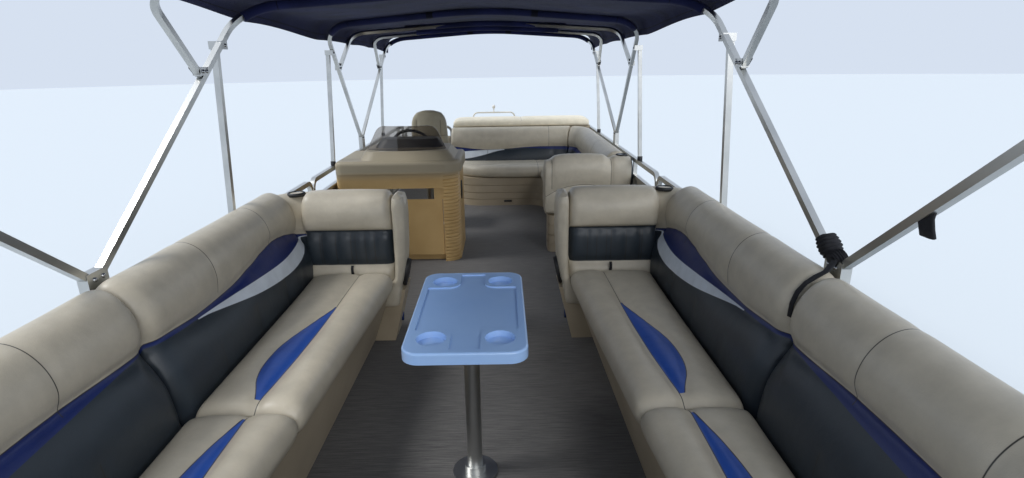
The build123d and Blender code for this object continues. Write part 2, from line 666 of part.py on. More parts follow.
def console():
    """Moulded console: ribbed column, recessed front with a door and a slot, lipped top and hood."""
    wall = CONSOLE_WALL
    band = DECK + CONSOLE_BAND
    lip = band + CONSOLE_LIP
    plan = outline((CONSOLE_OUTER, CONSOLE_FRONT, 40), (CONSOLE_INNER, CONSOLE_FRONT, CONSOLE_CORNER),
                   (CONSOLE_INNER, CONSOLE_BACK, 30), (CONSOLE_OUTER, CONSOLE_BACK, 30))
    over = CONSOLE_OVERHANG
    lip_plan = outline((CONSOLE_OUTER, CONSOLE_FRONT - over, 60),
                       (CONSOLE_INNER + over, CONSOLE_FRONT - over, CONSOLE_CORNER + over),
                       (CONSOLE_INNER + over, CONSOLE_BACK, 30), (CONSOLE_OUTER, CONSOLE_BACK, 30))
    shell = prism_z(plan, DECK, band)
    shell += fillet(prism_z(lip_plan, band, lip).edges().group_by(Axis.Z)[-1], LIP_ROUND)
    for groove in column_grooves():
        shell -= groove
    panel = CONSOLE_FRONT + PANEL_RECESS
    column = DOOR_END + DOOR_GAP
    sill, slot_top = DECK + DOOR_BOTTOM, DECK + SLOT_TOP
    cavity = outline((CONSOLE_OUTER + wall, panel + wall, 20),
                     (CONSOLE_INNER - wall, panel + wall, CONSOLE_CORNER - wall),
                     (CONSOLE_INNER - wall, CONSOLE_BACK + 10, 0),
                     (CONSOLE_OUTER + wall, CONSOLE_BACK + 10, 0))
    shell -= prism_z(cavity, sill, slot_top + 20)
    outer = DOOR_START - PANEL_MARGIN
    toe = CONSOLE_FRONT + PLINTH_SETBACK
    shell -= block(outer, column, CONSOLE_FRONT - 1, panel, DECK - 1, slot_top)
    shell -= block(outer, column, CONSOLE_FRONT - 1, toe, DECK - 1, sill - SILL_THICKNESS)
    shell -= block(DOOR_START, DOOR_END, panel - 1, panel + wall + 10, sill, DECK + DOOR_TOP)
    shell -= block(DOOR_START, SLOT_END, panel - 1, panel + wall + 10, sill, slot_top)
    shell += console_hood(lip)
    door = block(DOOR_START + DOOR_GAP, DOOR_END - DOOR_GAP, panel, panel + wall, sill + SEAT_GAP,
                 DECK + DOOR_TOP - SEAT_GAP)
    pin_x, pin_y = door_pin()
    for height in DOOR_HINGE_HEIGHTS:
        base = DECK + height
        split_z = base + HINGE_LENGTH
        shell += knuckle(pin_x, pin_y, height, False)
        shell += block(pin_x - 20, pin_x - 2, pin_y - 2, panel + 2, base, split_z)
        door += knuckle(pin_x, pin_y, height, True)
        door += block(pin_x + 4, pin_x + 22, pin_y - 2, panel + 2, split_z + SEAT_GAP,
                      split_z + SEAT_GAP + HINGE_LENGTH)
    return shell, door


def screen_axis():
    """Centre of the screen's cone in plan."""
    return (CONSOLE_OUTER + CONSOLE_INNER) / 2 + 60, CONSOLE_FRONT + 110 + SCREEN_RADIUS


def windshield():
    """Smoked screen: part of a cone round the hood's front, cut to a rounded trapezoid."""
    top = DECK + CONSOLE_BAND + CONSOLE_LIP + HOOD_RISE
    middle, axis_y = screen_axis()
    radius = SCREEN_RADIUS
    wall = outline((radius, top, 0), (radius + SCREEN_THICKNESS, top, 0),
                   (radius + SCREEN_THICKNESS - SCREEN_LEAN, top + SCREEN_HEIGHT, 0),
                   (radius - SCREEN_LEAN, top + SCREEN_HEIGHT, 0))
    plane = Plane((middle, axis_y, 0), x_dir=(0, -1, 0), z_dir=(-1, 0, 0))
    ring = revolve(plane * wall, axis=Axis((middle, axis_y, 0), (0, 0, 1)))
    half = SCREEN_HALF
    front = outline((middle - half, top, 0), (middle + half, top, 0),
                    (middle + half - SCREEN_LEAN, top + SCREEN_HEIGHT, 90),
                    (middle - half + SCREEN_LEAN, top + SCREEN_HEIGHT, 90))
    return ring & prism_y(front, CONSOLE_FRONT - 100, axis_y - 150)


def dash():
    """Low instrument cover on the hood behind the screen."""
    top = DECK + CONSOLE_BAND + CONSOLE_LIP + HOOD_RISE
    middle, _ = screen_axis()
    fore, aft = CONSOLE_FRONT + 290, CONSOLE_BACK - 90
    low = rectangle(middle - 290, middle + 290, fore, aft, 90)
    high = rectangle(middle - 240, middle + 240, fore + 50, aft - 30, 80)
    return loft([Pos(0, 0, top) * low, Pos(0, 0, top + DASH_HEIGHT) * high])


def helm_frame():
    """Plane of the steering wheel: origin at its hub, z along the shaft towards the driver."""
    tilt = math.radians(WHEEL_TILT)
    centre = (WHEEL_X, CONSOLE_BACK + 70, DECK + CONSOLE_BAND + CONSOLE_LIP + 25)
    return Plane(centre, x_dir=(1, 0, 0), z_dir=(0, math.cos(tilt), math.sin(tilt)))


def helm():
    """Steering wheel, its column, and the throttle box."""
    plane = helm_frame()
    rim = Torus(WHEEL_RADIUS - WHEEL_RIM, WHEEL_RIM)
    hub = Cylinder(38, 30)
    wheel = rim + hub
    for angle in (90, 210, 330):
        spoke = Rot(0, 0, angle) * (Pos(WHEEL_RADIUS / 2 - 5, 0, -3) * Box(WHEEL_RADIUS - 24, 26, 8))
        wheel += spoke
    column = Pos(0, 0, -15 - SEAT_GAP - 55) * Cylinder(30, 110)
    throttle = block(CONSOLE_INNER - 70, CONSOLE_INNER - 20, CONSOLE_BACK + SEAT_GAP, CONSOLE_BACK + 70,
                     DECK + 560, DECK + 700)
    lever = prism_x(outline((CONSOLE_BACK + 25, DECK + 650, 5), (CONSOLE_BACK + 50, DECK + 650, 5),
                            (CONSOLE_BACK + 60, DECK + 830, 10), (CONSOLE_BACK + 30, DECK + 830, 10)),
                    CONSOLE_INNER - 70 - 14, CONSOLE_INNER - 70)
    behind = block(CONSOLE_OUTER, CONSOLE_INNER, CONSOLE_BACK, CONSOLE_BACK + 400, DECK, DECK + 2000)
    return plane * wheel, (plane * column) & behind, throttle + lever


def chair():
    """Helm chair: pedestal on the floor, seat and tall back that swivel on it."""
    seat_top = DECK + CHAIR_SEAT_TOP
    shell_bottom = seat_top - 160
    flange = post(CHAIR_X, CHAIR_Y, DECK, DECK + 12, 130)
    column = post(CHAIR_X, CHAIR_Y, DECK, shell_bottom - 40 - SEAT_GAP, 36.5)
    half = CHAIR_WIDTH / 2
    plate = post(CHAIR_X, CHAIR_Y, shell_bottom - 40, shell_bottom, 90)
    shell = prism_z(rectangle(CHAIR_X - half, CHAIR_X + half, CHAIR_Y - 230, CHAIR_Y + 230, 90),
                    shell_bottom, shell_bottom + 50)
    cushion = prism_z(rectangle(CHAIR_X - half + 10, CHAIR_X + half - 10, CHAIR_Y - 240, CHAIR_Y + 130, 80),
                      shell_bottom + 50, seat_top)
    low_half, top_half = half - 20, CHAIR_BACK_WIDTH / 2
    back_face = outline((CHAIR_X - low_half, shell_bottom + 50, 40),
                        (CHAIR_X + low_half, shell_bottom + 50, 40),
                        (CHAIR_X + top_half, DECK + CHAIR_BACK_TOP, 90),
                        (CHAIR_X - top_half, DECK + CHAIR_BACK_TOP, 90))
    back = prism_y(back_face, CHAIR_Y + 135, CHAIR_Y + 235)
    return {
        "chair_pedestal": [flange + column],
        "chair_shell": [plate + shell],
        "chair_seat": [cushion],
        "chair_back": [back],
    }


def table():
    """Cup-holder table on a floor pedestal."""
    top = DECK + TABLE_TOP
    low = top - TABLE_THICKNESS
    half_x, half_y = TABLE_WIDTH / 2, TABLE_LENGTH / 2
    slab = prism_z(rectangle(-half_x, half_x, TABLE_Y - half_y, TABLE_Y + half_y, TABLE_CORNER), low, top)
    slab = fillet(slab.edges().group_by(Axis.Z)[-1], 8)
    rim_x, rim_y = half_x - TABLE_RIM, half_y - TABLE_RIM
    field = rectangle(-rim_x, rim_x, TABLE_Y - rim_y, TABLE_Y + rim_y)
    # the field keeps off a rounded pad round each cup
    pad_x, pad_y = CUP_X - CUP_RADIUS - 14, CUP_Y - CUP_RADIUS - 14
    for side in (-1, 1):
        for end in (-1, 1):
            near_x, far_x = sorted((side * pad_x, side * (rim_x + 60)))
            near_y, far_y = sorted((end * pad_y, end * (rim_y + 60)))
            field -= rectangle(near_x, far_x, TABLE_Y + near_y, TABLE_Y + far_y, CUP_RADIUS - 5)
    slab -= prism_z(field, top - TABLE_RECESS, top + 1)
    for side in (-1, 1):
        for end in (-1, 1):
            slab -= post(side * CUP_X, TABLE_Y + end * CUP_Y, top - CUP_DEPTH, top + 1, CUP_RADIUS)
    socket = post(0, TABLE_Y, low - 36, low, 62)
    socket_low = low - 36
    bore_radius = LEG_RADIUS + RUNNING_GAP
    socket -= post(0, TABLE_Y, socket_low - 1, low - SEAT_GAP, bore_radius)
    leg = post(0, TABLE_Y, DECK, low - 2 * SEAT_GAP, LEG_RADIUS)
    leg += post(0, TABLE_Y, DECK, DECK + 8, LEG_FLANGE_RADIUS)
    leg += post(0, TABLE_Y, DECK, DECK + 40, LEG_RADIUS + 11)
    return {"table_top": [slab + socket], "table_leg": [leg]}


def frame_bow(y, reach, height, half_low, half_high, base_z, corner=BOW_CORNER_RADIUS):
    """One bent-tube bow: its legs start at station y and base_z and lean by reach to its crown."""
    rise = height - base_z
    length = math.hypot(reach, rise)
    plane = Plane((0, y, base_z), x_dir=(1, 0, 0), z_dir=(0, -rise / length, reach / length))
    shoulder = length * (1 - BOW_SHOULDER / rise)
    path = FilletPolyline([(-half_low, 0), (-half_high, shoulder), (0, length), (half_high, shoulder),
                           (half_low, 0)], radius=[corner, CROWN_RADIUS, corner])
    ribbon = trace(path, line_width=BOW_TUBE)
    return plane * extrude(ribbon, BOW_TUBE / 2, both=True)


def stay(top, foot):
    """Straight square stay from a round foot on the rail to its upper end."""
    start = Vector(*foot) + Vector(0, 0, STAY_FOOT / 2)
    along = Vector(*top) - start
    section = Plane(start, x_dir=(0, 1, 0), z_dir=along) * Rectangle(STAY_TUBE, STAY_TUBE)
    tube = extrude(section, along.length)
    return tube + post(foot[0], foot[1], foot[2], foot[2] + STAY_FOOT, RAIL_HALF)


def clip(centre, size, carried):
    """Moulded clip: a block of the given size round its centre with the tubes' way cut out."""
    piece = Pos(*centre) * Box(*size)
    for tube in carried:
        piece -= tube
    return piece


def canopy_frame():
    """Two four-bow sets on pivot blocks, with stays down to the fence rail."""
    pivot_z = DECK + FRAME_PIVOT
    crown_z = DECK + FRAME_CROWN
    rise = crown_z - pivot_z
    half_low, half_high = FENCE_X, FENCE_X - FRAME_LEAN
    rail_top = DECK + FENCE_HEIGHT
    block_top = pivot_z + BOW_TUBE
    nodes = {"canopy_mounts": [], "canopy_stays": [], "canopy_clips": []}
    for name, station in zip(("front", "rear"), FRAME_STATIONS):
        bows, arms = [], []
        for facing in (-1, 1):
            foot = station + facing * (BOW_TUBE / 2 + 8)
            bow = frame_bow(foot, facing * FRAME_REACH, crown_z, half_low, half_high, pivot_z)
            hinge_z = pivot_z + ARM_HINGE * rise
            hinge_y = foot + facing * ARM_HINGE * FRAME_REACH - facing * ARM_OFFSET
            hinge_half = half_low + (half_high - half_low) * ARM_HINGE
            lean = station + facing * ARM_REACH - hinge_y
            arm = frame_bow(hinge_y, lean, crown_z - ARM_DROP, hinge_half, half_high, hinge_z,
                            ARM_CORNER_RADIUS)
            stay_y = foot + facing * STAY_HINGE * FRAME_REACH
            stay_z = pivot_z + STAY_HINGE * rise
            leg_x = half_low + (half_high - half_low) * STAY_HINGE
            stay_x = leg_x + (BOW_TUBE + STAY_TUBE) / 2 + STAY_GAP
            for side in (-1, 1):
                strut = stay((side * stay_x, stay_y, stay_z), (side * FENCE_X, stay_y, rail_top))
                nodes["canopy_stays"].append(strut)
                nodes["canopy_clips"].append(
                    clip((side * hinge_half, hinge_y + facing * ARM_OFFSET / 2, hinge_z + BOW_TUBE / 2),
                         (2 * CLIP_HALF, ARM_OFFSET + 2 * CLIP_HALF, 2 * CLIP_HALF), (bow, arm)))
                nodes["canopy_clips"].append(
                    clip((side * (leg_x + stay_x) / 2, stay_y, stay_z - CLIP_HALF),
                         (stay_x - leg_x + 2 * CLIP_HALF, 3 * CLIP_HALF, 2 * CLIP_HALF), (bow, strut)))
            bows.append(bow)
            arms.append(arm)
        nodes[f"{name}_bows"] = bows
        nodes[f"{name}_arms"] = arms
        for side in (-1, 1):
            nodes["canopy_mounts"].append(
                clip((side * FENCE_X, station, (rail_top + block_top) / 2),
                     (2 * CLIP_HALF, 2 * PIVOT_BLOCK, block_top - rail_top), bows))
    return nodes


def canopy():
    """Fabric top as one arched sheet laid over the bows."""
    side = FENCE_X - FRAME_LEAN + BOW_TUBE / 2
    rise = FRAME_CROWN - FRAME_PIVOT
    # a leaning square tube stands higher than its half width
    lean = math.atan2(FRAME_REACH, rise)
    crest = DECK + FRAME_CROWN + BOW_TUBE / 2 * (math.sin(lean) + math.cos(lean))
    edge_z = DECK + CANOPY_EDGE - BOW_CORNER_RADIUS
    spread = FRAME_LEAN * (crest - BOW_SHOULDER - edge_z) / (rise - BOW_SHOULDER)
    edge = (side + spread + CANOPY_FLARE, edge_z)

    def arch(lift):
        shoulder = crest - BOW_SHOULDER + lift
        corners = [(-edge[0] - lift, edge[1]), (-side - lift, shoulder), (0, crest + lift),
                   (side + lift, shoulder), (edge[0] + lift, edge[1])]
        return FilletPolyline(corners, radius=[CANOPY_CORNER, CROWN_RADIUS, CANOPY_CORNER])

    lower, upper = arch(CANOPY_GAP), arch(CANOPY_GAP + CANOPY_THICKNESS)
    sides = [Line(lower @ 0, upper @ 0), Line(lower @ 1, upper @ 1)]
    face = make_face([*lower.edges(), *upper.edges(), *sides])
    return prism_y(face, CANOPY_START, CANOPY_END) & block(-BEAM, BEAM, 0, DECK_LENGTH, DECK + CANOPY_EDGE,
                                                           DECK + 2 * CANOPY_EDGE)


def outboard():
    """Outboard motor, drawn running and then tilted up to its parking angle."""
    aft = TRANSOM_Y
    jaw = outline((aft - TRANSOM_THICKNESS - 25, TRANSOM_TOP - 90, 8),
                  (aft - TRANSOM_THICKNESS, TRANSOM_TOP - 90, 0), (aft - TRANSOM_THICKNESS, TRANSOM_TOP, 0),
                  (aft, TRANSOM_TOP, 0), (aft, TRANSOM_TOP - 300, 0), (aft + 30, TRANSOM_TOP - 300, 10),
                  (aft + 45, TRANSOM_TOP + 20, 20), (TILT_Y + 30, TILT_Z + 34, 25),
                  (TILT_Y - 34, TILT_Z + 34, 25))
    clamp = prism_x(jaw, CLAMP_INNER, CLAMP_INNER + CLAMP_WALL)
    clamp += to_starboard(clamp)
    tube_length = 2 * (CLAMP_INNER + CLAMP_WALL) + 20
    clamp += Pos(0, TILT_Y, TILT_Z) * Rot(0, 90, 0) * Cylinder(TILT_TUBE, tube_length)

    hub = CLAMP_INNER - SEAT_GAP
    arm = outline((TILT_Y - 24, TILT_Z - 24, 20), (STEER_Y + 20, TILT_Z - 70, 10),
                  (STEER_Y + 20, TILT_Z + 20, 10), (TILT_Y - 24, TILT_Z + 28, 20))
    swivel = prism_x(arm, -hub, hub)
    swivel += post(0, STEER_Y, TILT_Z - 330, TILT_Z + 30, STEER_RADIUS)
    swivel -= Pos(0, TILT_Y, TILT_Z) * Rot(0, 90, 0) * Cylinder(TILT_TUBE + RUNNING_GAP, 400)

    leg_y = STEER_Y + STEER_RADIUS + 12
    plate_z = TILT_Z - PLATE_DROP
    leg = loft([Pos(0, leg_y + 95, plate_z) * Ellipse(42, 120),
                Pos(0, leg_y + 105, TILT_Z - 200) * Ellipse(62, 105),
                Pos(0, leg_y + 115, TILT_Z + 60) * Ellipse(95, 115)], ruled=True)
    yoke_top = block(-55, 55, STEER_Y - 45, leg_y + 60, TILT_Z + 30 + SEAT_GAP, TILT_Z + 60)
    yoke_low = block(-38, 38, STEER_Y - 20, leg_y + 50, TILT_Z - 370, TILT_Z - 330 - SEAT_GAP)
    leg += yoke_top + yoke_low
    cowl_z = TILT_Z + 60
    front = TILT_Y - 30
    # (height share, inset at the front, inset at the back, inset at the sides)
    levels = ((0.0, 60, 90, 45), (0.16, 0, 25, 0), (0.72, 12, 0, 6), (0.93, 60, 60, 40),
              (1.0, 120, 130, 90))
    sections = []
    for share, fore_in, aft_in, side_in in levels:
        half = COWL_HALF_WIDTH - side_in
        level = Pos(0, 0, cowl_z + share * COWL_HEIGHT)
        sections.append(level * rectangle(-half, half, front + fore_in, front + COWL_LENGTH - aft_in, 90))
    cowl = loft(sections, ruled=True)

    body_y = leg_y + 95
    torpedo = outline((0, body_y - 170, 0), (GEARCASE_RADIUS * 0.62, body_y - 150, 30),
                      (GEARCASE_RADIUS, body_y - 40, 60), (GEARCASE_RADIUS, body_y + 150, 0),
                      (0, body_y + 150, 0))
    case = Pos(0, 0, PROP_Z) * revolve(torpedo, axis=Axis.Y)
    case += extrude(Pos(0, body_y, PROP_Z) * Ellipse(34, 112), plate_z - PROP_Z)
    case += prism_z(outline((-60, body_y - 130, 50), (60, body_y - 130, 50), (95, body_y + 240, 40),
                            (-95, body_y + 240, 40)), plate_z - 6, plate_z)
    skeg = outline((body_y - 60, PROP_Z, 0), (body_y + 110, PROP_Z, 0), (body_y + 120, PROP_Z - 215, 25),
                   (body_y + 40, PROP_Z - 215, 15))
    case += prism_x(skeg, -7, 7)
    prop_y = body_y + 150 + SEAT_GAP
    propeller = propeller_solid(prop_y)
    pieces = {"outboard_swivel": swivel, "outboard_leg": leg, "outboard_cowl": cowl,
              "outboard_gearcase": case, "propeller": propeller}
    tilt = Pos(0, TILT_Y, TILT_Z) * Rot(TILT_PARKED, 0, 0) * Pos(0, -TILT_Y, -TILT_Z)
    nodes = {name: [tilt * piece] for name, piece in pieces.items()}
    nodes["outboard_clamp"] = [clamp]
    return nodes


def propeller_solid(start):
    """Hub with three pitched blades, each lofted through twisted sections."""
    length = 105
    middle = start + length / 2
    hub = Pos(0, middle, PROP_Z) * Rot(90, 0, 0) * Cylinder(PROP_HUB, length)
    # (radius share, chord, thickness, pitch angle from the disc)
    stations = ((0.24, 70, 12, 58), (0.5, 120, 9, 38), (0.78, 130, 6, 27), (1.0, 60, 3, 21))
    blade_faces = []
    for share, chord, thickness, pitch in stations:
        section = Rot(0, 0, pitch) * RectangleRounded(chord, thickness, thickness * 0.45)
        plane = Plane((0, 0, share * PROP_RADIUS), x_dir=(1, 0, 0), z_dir=(0, 0, 1))
        blade_faces.append(plane * section)
    blade = loft(blade_faces)
    propeller = hub
    for turn in (0, 120, 240):
        propeller += Pos(0, middle, PROP_Z) * Rot(0, turn, 0) * blade
    return propeller


def ladder():
    """Boarding ladder standing up at the stern on a hinge, and the bracket that carries it."""
    pieces = None
    for x in (LADDER_START, LADDER_END):
        rail = post(x, LADDER_Y, LADDER_Z - 18, LADDER_Z + LADDER_LENGTH, LADDER_TUBE)
        pieces = rail if pieces is None else pieces + rail
    pitch = LADDER_LENGTH / LADDER_STEPS
    for index in range(LADDER_STEPS):
        z = LADDER_Z + (index + 1) * pitch - 30
        pieces += block(LADDER_START, LADDER_END, LADDER_Y - 10, LADDER_Y + 45, z, z + 18)
    bore = Rot(0, 90, 0) * Cylinder(6 + RUNNING_GAP, 600)
    middle = (LADDER_START + LADDER_END) / 2
    pieces -= Pos(middle, LADDER_Y, LADDER_Z) * bore
    lean = Pos(0, LADDER_Y, LADDER_Z) * Rot(LADDER_LEAN, 0, 0) * Pos(0, -LADDER_Y, -LADDER_Z)
    bracket = None
    foot, base = DECK_LENGTH - 60, DECK + TRIM_LIP
    aft, head = LADDER_Y + 14, LADDER_Z + 14
    for x in (LADDER_START, LADDER_END):
        for side in (-1, 1):
            ear_x = x + side * (LADDER_TUBE + SEAT_GAP + 3)
            cheek = outline((foot, base, 0), (aft, base, 0), (aft, head, 13), (LADDER_Y - 20, head, 13))
            ear = prism_x(cheek, ear_x - 3, ear_x + 3)
            bracket = ear if bracket is None else bracket + ear
        bracket += Pos(x, LADDER_Y, LADDER_Z) * Rot(0, 90, 0) * Cylinder(6, 2 * LADDER_TUBE + 14)
        bracket += block(x - 22, x + 22, foot, LADDER_Y - 30, base, base + 5)
    return {"ladder": [lean * pieces], "ladder_bracket": bracket.solids()}


def build():
    """Every node's solids, centred along the boat."""
    nodes = {}
    nodes.update(hull())
    nodes.update(fences())
    nodes.update(settees())
    nodes.update(lounge())
    shell, door = console()
    wheel, column, throttle = helm()
    nodes["console_shell"] = [shell]
    nodes["console_door"] = [door]
    nodes["windshield"] = [windshield()]
    nodes["dash_cover"] = [dash()]
    nodes["helm_wheel"] = [wheel]
    nodes["helm_column"] = [column]
    nodes["throttle"] = [throttle]
    nodes.update(chair())
    nodes.update(table())
    nodes.update(canopy_frame())
    nodes["canopy"] = [canopy()]
    nodes.update(outboard())
    nodes.update(ladder())
    return nodes


def middle_station(nodes):
    """Station halfway between the foremost and the aftmost point."""
    boxes = [solid.bounding_box() for solids in nodes.values() for solid in solids]
    return (min(box.min.Y for box in boxes) + max(box.max.Y for box in boxes)) / 2


def write(nodes, middle):
    os.makedirs("parts", exist_ok=True)
    for name, shapes in nodes.items():
        solids = [Pos(0, -middle, 0) * solid for shape in shapes for solid in shape.solids()]
        export_step(solids[0] if len(solids) == 1 else Compound(children=solids), f"parts/{name}.step")


NODES = build()
MIDDLE = middle_station(NODES)
write(NODES, MIDDLE)
print(len(NODES), "nodes, middle station", round(MIDDLE, 3))
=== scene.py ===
import math

import bmesh
import bpy
from mathutils import Matrix, Vector, noise


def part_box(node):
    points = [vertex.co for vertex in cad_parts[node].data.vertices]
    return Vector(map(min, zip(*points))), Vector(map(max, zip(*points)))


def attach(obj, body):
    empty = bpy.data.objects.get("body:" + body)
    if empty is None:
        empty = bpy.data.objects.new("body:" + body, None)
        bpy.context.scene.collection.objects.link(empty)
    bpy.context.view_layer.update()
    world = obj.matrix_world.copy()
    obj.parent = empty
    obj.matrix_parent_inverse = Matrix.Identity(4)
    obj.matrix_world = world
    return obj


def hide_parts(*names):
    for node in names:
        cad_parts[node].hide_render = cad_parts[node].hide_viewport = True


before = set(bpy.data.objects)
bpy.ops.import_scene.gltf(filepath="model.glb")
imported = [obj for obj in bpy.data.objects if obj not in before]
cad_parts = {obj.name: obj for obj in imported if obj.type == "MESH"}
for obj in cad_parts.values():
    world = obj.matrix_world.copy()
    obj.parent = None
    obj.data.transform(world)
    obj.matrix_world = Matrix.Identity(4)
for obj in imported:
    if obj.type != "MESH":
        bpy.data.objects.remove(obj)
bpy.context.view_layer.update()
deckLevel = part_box("floor_cover")[1].z  # the walking surface
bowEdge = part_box("deck_trim")[0].y  # the deck's front edge
print("stage: frame loaded")


def place(x, y, z):  # metres to port, aft of the deck's front edge, above the deck
    return Vector((x, bowEdge + y, deckLevel + z))


# ---- camera and stage

view = {"x": 0.13, "y": 0.28, "height": 1.58, "down": 17.21, "roll": -0.0161, "lens": 19.86, "shift": 0.008}
lens = bpy.data.cameras.new("deckView")
lens.lens = view["lens"]
lens.sensor_width = 36
lens.shift_x = view["shift"]
lens.clip_start = 0.05
lens.clip_end = 400
camera = bpy.data.objects.new("deckView", lens)
bpy.context.scene.collection.objects.link(camera)
camera.matrix_world = (Matrix.Translation(place(view["x"], view["y"], view["height"]))
                       @ Matrix.Rotation(math.radians(90 - view["down"]), 4, "X")
                       @ Matrix.Rotation(view["roll"], 4, "Z"))
bpy.context.scene.camera = camera
bpy.context.scene.view_settings.view_transform = "Standard"


def paint(code):  # an sRGB hex colour as the renderer's linear one
    parts = [int(code[i:i + 2], 16) / 255 for i in (1, 3, 5)]
    return tuple(c / 12.92 if c <= 0.04045 else ((c + 0.055) / 1.055) ** 2.4 for c in parts) + (1.0,)


def addNode(tree, kind, links=None, **settings):  # a node with its settings and its inputs, wired or set
    made = tree.nodes.new(kind)
    for key, value in settings.items():
        setattr(made, key, value)
    for key, value in (links or {}).items():
        if isinstance(value, bpy.types.NodeSocket):
            tree.links.new(value, made.inputs[key])
        else:
            made.inputs[key].default_value = value
    return made


def calc(tree, operation, *values):  # the result of a sum on sockets or numbers
    return addNode(tree, "ShaderNodeMath", dict(enumerate(values)), operation=operation).outputs[0]


def spread(tree, value, low, high, start=0.0, stop=1.0):  # a value's span laid over another
    return addNode(tree, "ShaderNodeMapRange", {"Value": value, "From Min": low, "From Max": high,
                                                "To Min": start, "To Max": stop}).outputs[0]


def inside(tree, value, low, high):  # 1 where a value lies between two others
    return calc(tree, "MULTIPLY", calc(tree, "GREATER_THAN", value, low),
                calc(tree, "LESS_THAN", value, high))


def blend(tree, share, first, second):  # two colours mixed
    return addNode(tree, "ShaderNodeMix", {"Factor": share, "A": first, "B": second},
                   data_type="RGBA").outputs["Result"]


def spotsOn(tree):  # places on the piece, in metres
    return addNode(tree, "ShaderNodeTexCoord").outputs["Object"]


def axes(tree, where):  # a place's X, Y and Z
    return addNode(tree, "ShaderNodeSeparateXYZ", {"Vector": where}).outputs


def cloud(tree, scale, detail, stretch=(1, 1, 1), **more):  # soft noise over the piece
    turned = addNode(tree, "ShaderNodeMapping", {"Vector": spotsOn(tree), "Scale": stretch})
    return addNode(tree, "ShaderNodeTexNoise", {"Vector": turned.outputs[0], "Scale": scale,
                                                "Detail": detail, **more}).outputs["Fac"]


def bump(tree, height, depth, strength=1.0, **more):  # relief of the given depth in metres
    return addNode(tree, "ShaderNodeBump", {"Height": height, "Distance": depth, "Strength": strength,
                                            **more}).outputs[0]


def newFinish(name, **values):  # a material whose shader starts from plain values
    finish = bpy.data.materials.new(name)
    finish.use_nodes = True
    shader = finish.node_tree.nodes["Principled BSDF"]
    for key, value in values.items():
        shader.inputs[key.replace("_", " ")].default_value = value
    return finish, finish.node_tree, shader


def opened(finish):  # a finish's nodes, shader and colour, for a second layer
    shader = finish.node_tree.nodes["Principled BSDF"]
    return finish.node_tree, shader, shader.inputs["Base Color"].links[0].from_socket


def tint(tree, shader, base, other, patch, stretch=(1, 1, 1), detail=4.0):
    # lets the colour drift between two tones, over patches of the given size in metres
    share = spread(tree, cloud(tree, 1 / patch, detail, stretch), 0.35, 0.65)
    mixed = blend(tree, share, paint(base), paint(other))
    tree.links.new(mixed, shader.inputs["Base Color"])
    return mixed


def roughen(tree, shader, grain, depth, stretch=(1, 1, 1)):
    # bumps of the given size and depth, in metres
    tree.links.new(bump(tree, cloud(tree, 1 / grain, 3.0, stretch), depth), shader.inputs["Normal"])


def asPiece(name, mesh, *finishes):  # the mesh as an object in the scene
    data = bpy.data.meshes.new(name)
    mesh.to_mesh(data)
    mesh.free()
    for finish in finishes:
        data.materials.append(finish)
    piece = bpy.data.objects.new(name, data)
    bpy.context.scene.collection.objects.link(piece)
    return piece


stage = {"waterline": 0.30, "radius": 90, "floor": "#c4cace", "sky": "#dbe6f6", "fill": 0.95,
         "key": 2.1, "side": 1.25}
floorFinish, tree, shader = newFinish("matteBackdropPaint", Roughness=0.9)
shader.inputs["Base Color"].default_value = paint(stage["floor"])
floorMesh = bmesh.new()
bmesh.ops.create_circle(floorMesh, cap_ends=True, segments=96, radius=stage["radius"])
bmesh.ops.translate(floorMesh, verts=floorMesh.verts, vec=(0, 0, stage["waterline"]))
asPiece("studioFloor", floorMesh, floorFinish)

world = bpy.data.worlds.new("studioLight")
bpy.context.scene.world = world
world.use_nodes = True
tree = world.node_tree
plain = tree.nodes["Background"]
plain.inputs["Color"].default_value = paint(stage["sky"])
plain.inputs["Strength"].default_value = stage["fill"]

lampTable = (  # name, strength, direction it shines along, softness in degrees
    ("keyLamp", stage["key"], (0.62, 0.10, -0.78), 18),
    ("sideLamp", stage["side"], (-0.30, 0.85, -0.42), 45),
)
for lampName, strength, way, softness in lampTable:
    lamp = bpy.data.lights.new(lampName, "SUN")
    lamp.energy = strength
    lamp.angle = math.radians(softness)
    lampObject = bpy.data.objects.new(lampName, lamp)
    lampObject.rotation_euler = Vector(way).to_track_quat("-Z", "Y").to_euler()
    bpy.context.scene.collection.objects.link(lampObject)
print("stage: camera and lights placed")


# ---- finishes for the rigid pieces

def satinAluminium(name, tone, other, roughness):
    # anodised extrusion: a soft grey metal with faint drawn streaks
    finish, tree, shader = newFinish(name, Metallic=1.0, Roughness=roughness)
    tint(tree, shader, tone, other, 0.12, stretch=(1, 0.12, 1))
    roughen(tree, shader, 0.0025, 0.00012, stretch=(1, 0.05, 1))
    return finish


def mouldedPlastic(name, tone, other, roughness=0.48):
    # rotomoulded polyethylene: an even tan with a waxy orange-peel skin
    finish, tree, shader = newFinish(name, Roughness=roughness, Specular_IOR_Level=0.4)
    tint(tree, shader, tone, other, 0.35, detail=5.0)
    roughen(tree, shader, 0.004, 0.0004)
    return finish


def consolePlasticPaintedSkylight():
    # the helm moulding, one tan plastic: warm tan below, and above a set height the lid and hood are painted
    # greyer and lighter, as painted sky light where the sky falls on them
    finish = mouldedPlastic("rotomouldedConsolePaintedSkylight", "#cbaa74", "#be9c66")
    tree, shader, warm = opened(finish)
    # painted sky light: the colour blends to the greyer tone between 0.69 m and 0.77 m above the deck
    high = spread(tree, axes(tree, spotsOn(tree))["Z"], deckLevel + 0.69, deckLevel + 0.77)
    tree.links.new(blend(tree, high, warm, paint("#9c917a")), shader.inputs["Base Color"])
    return finish


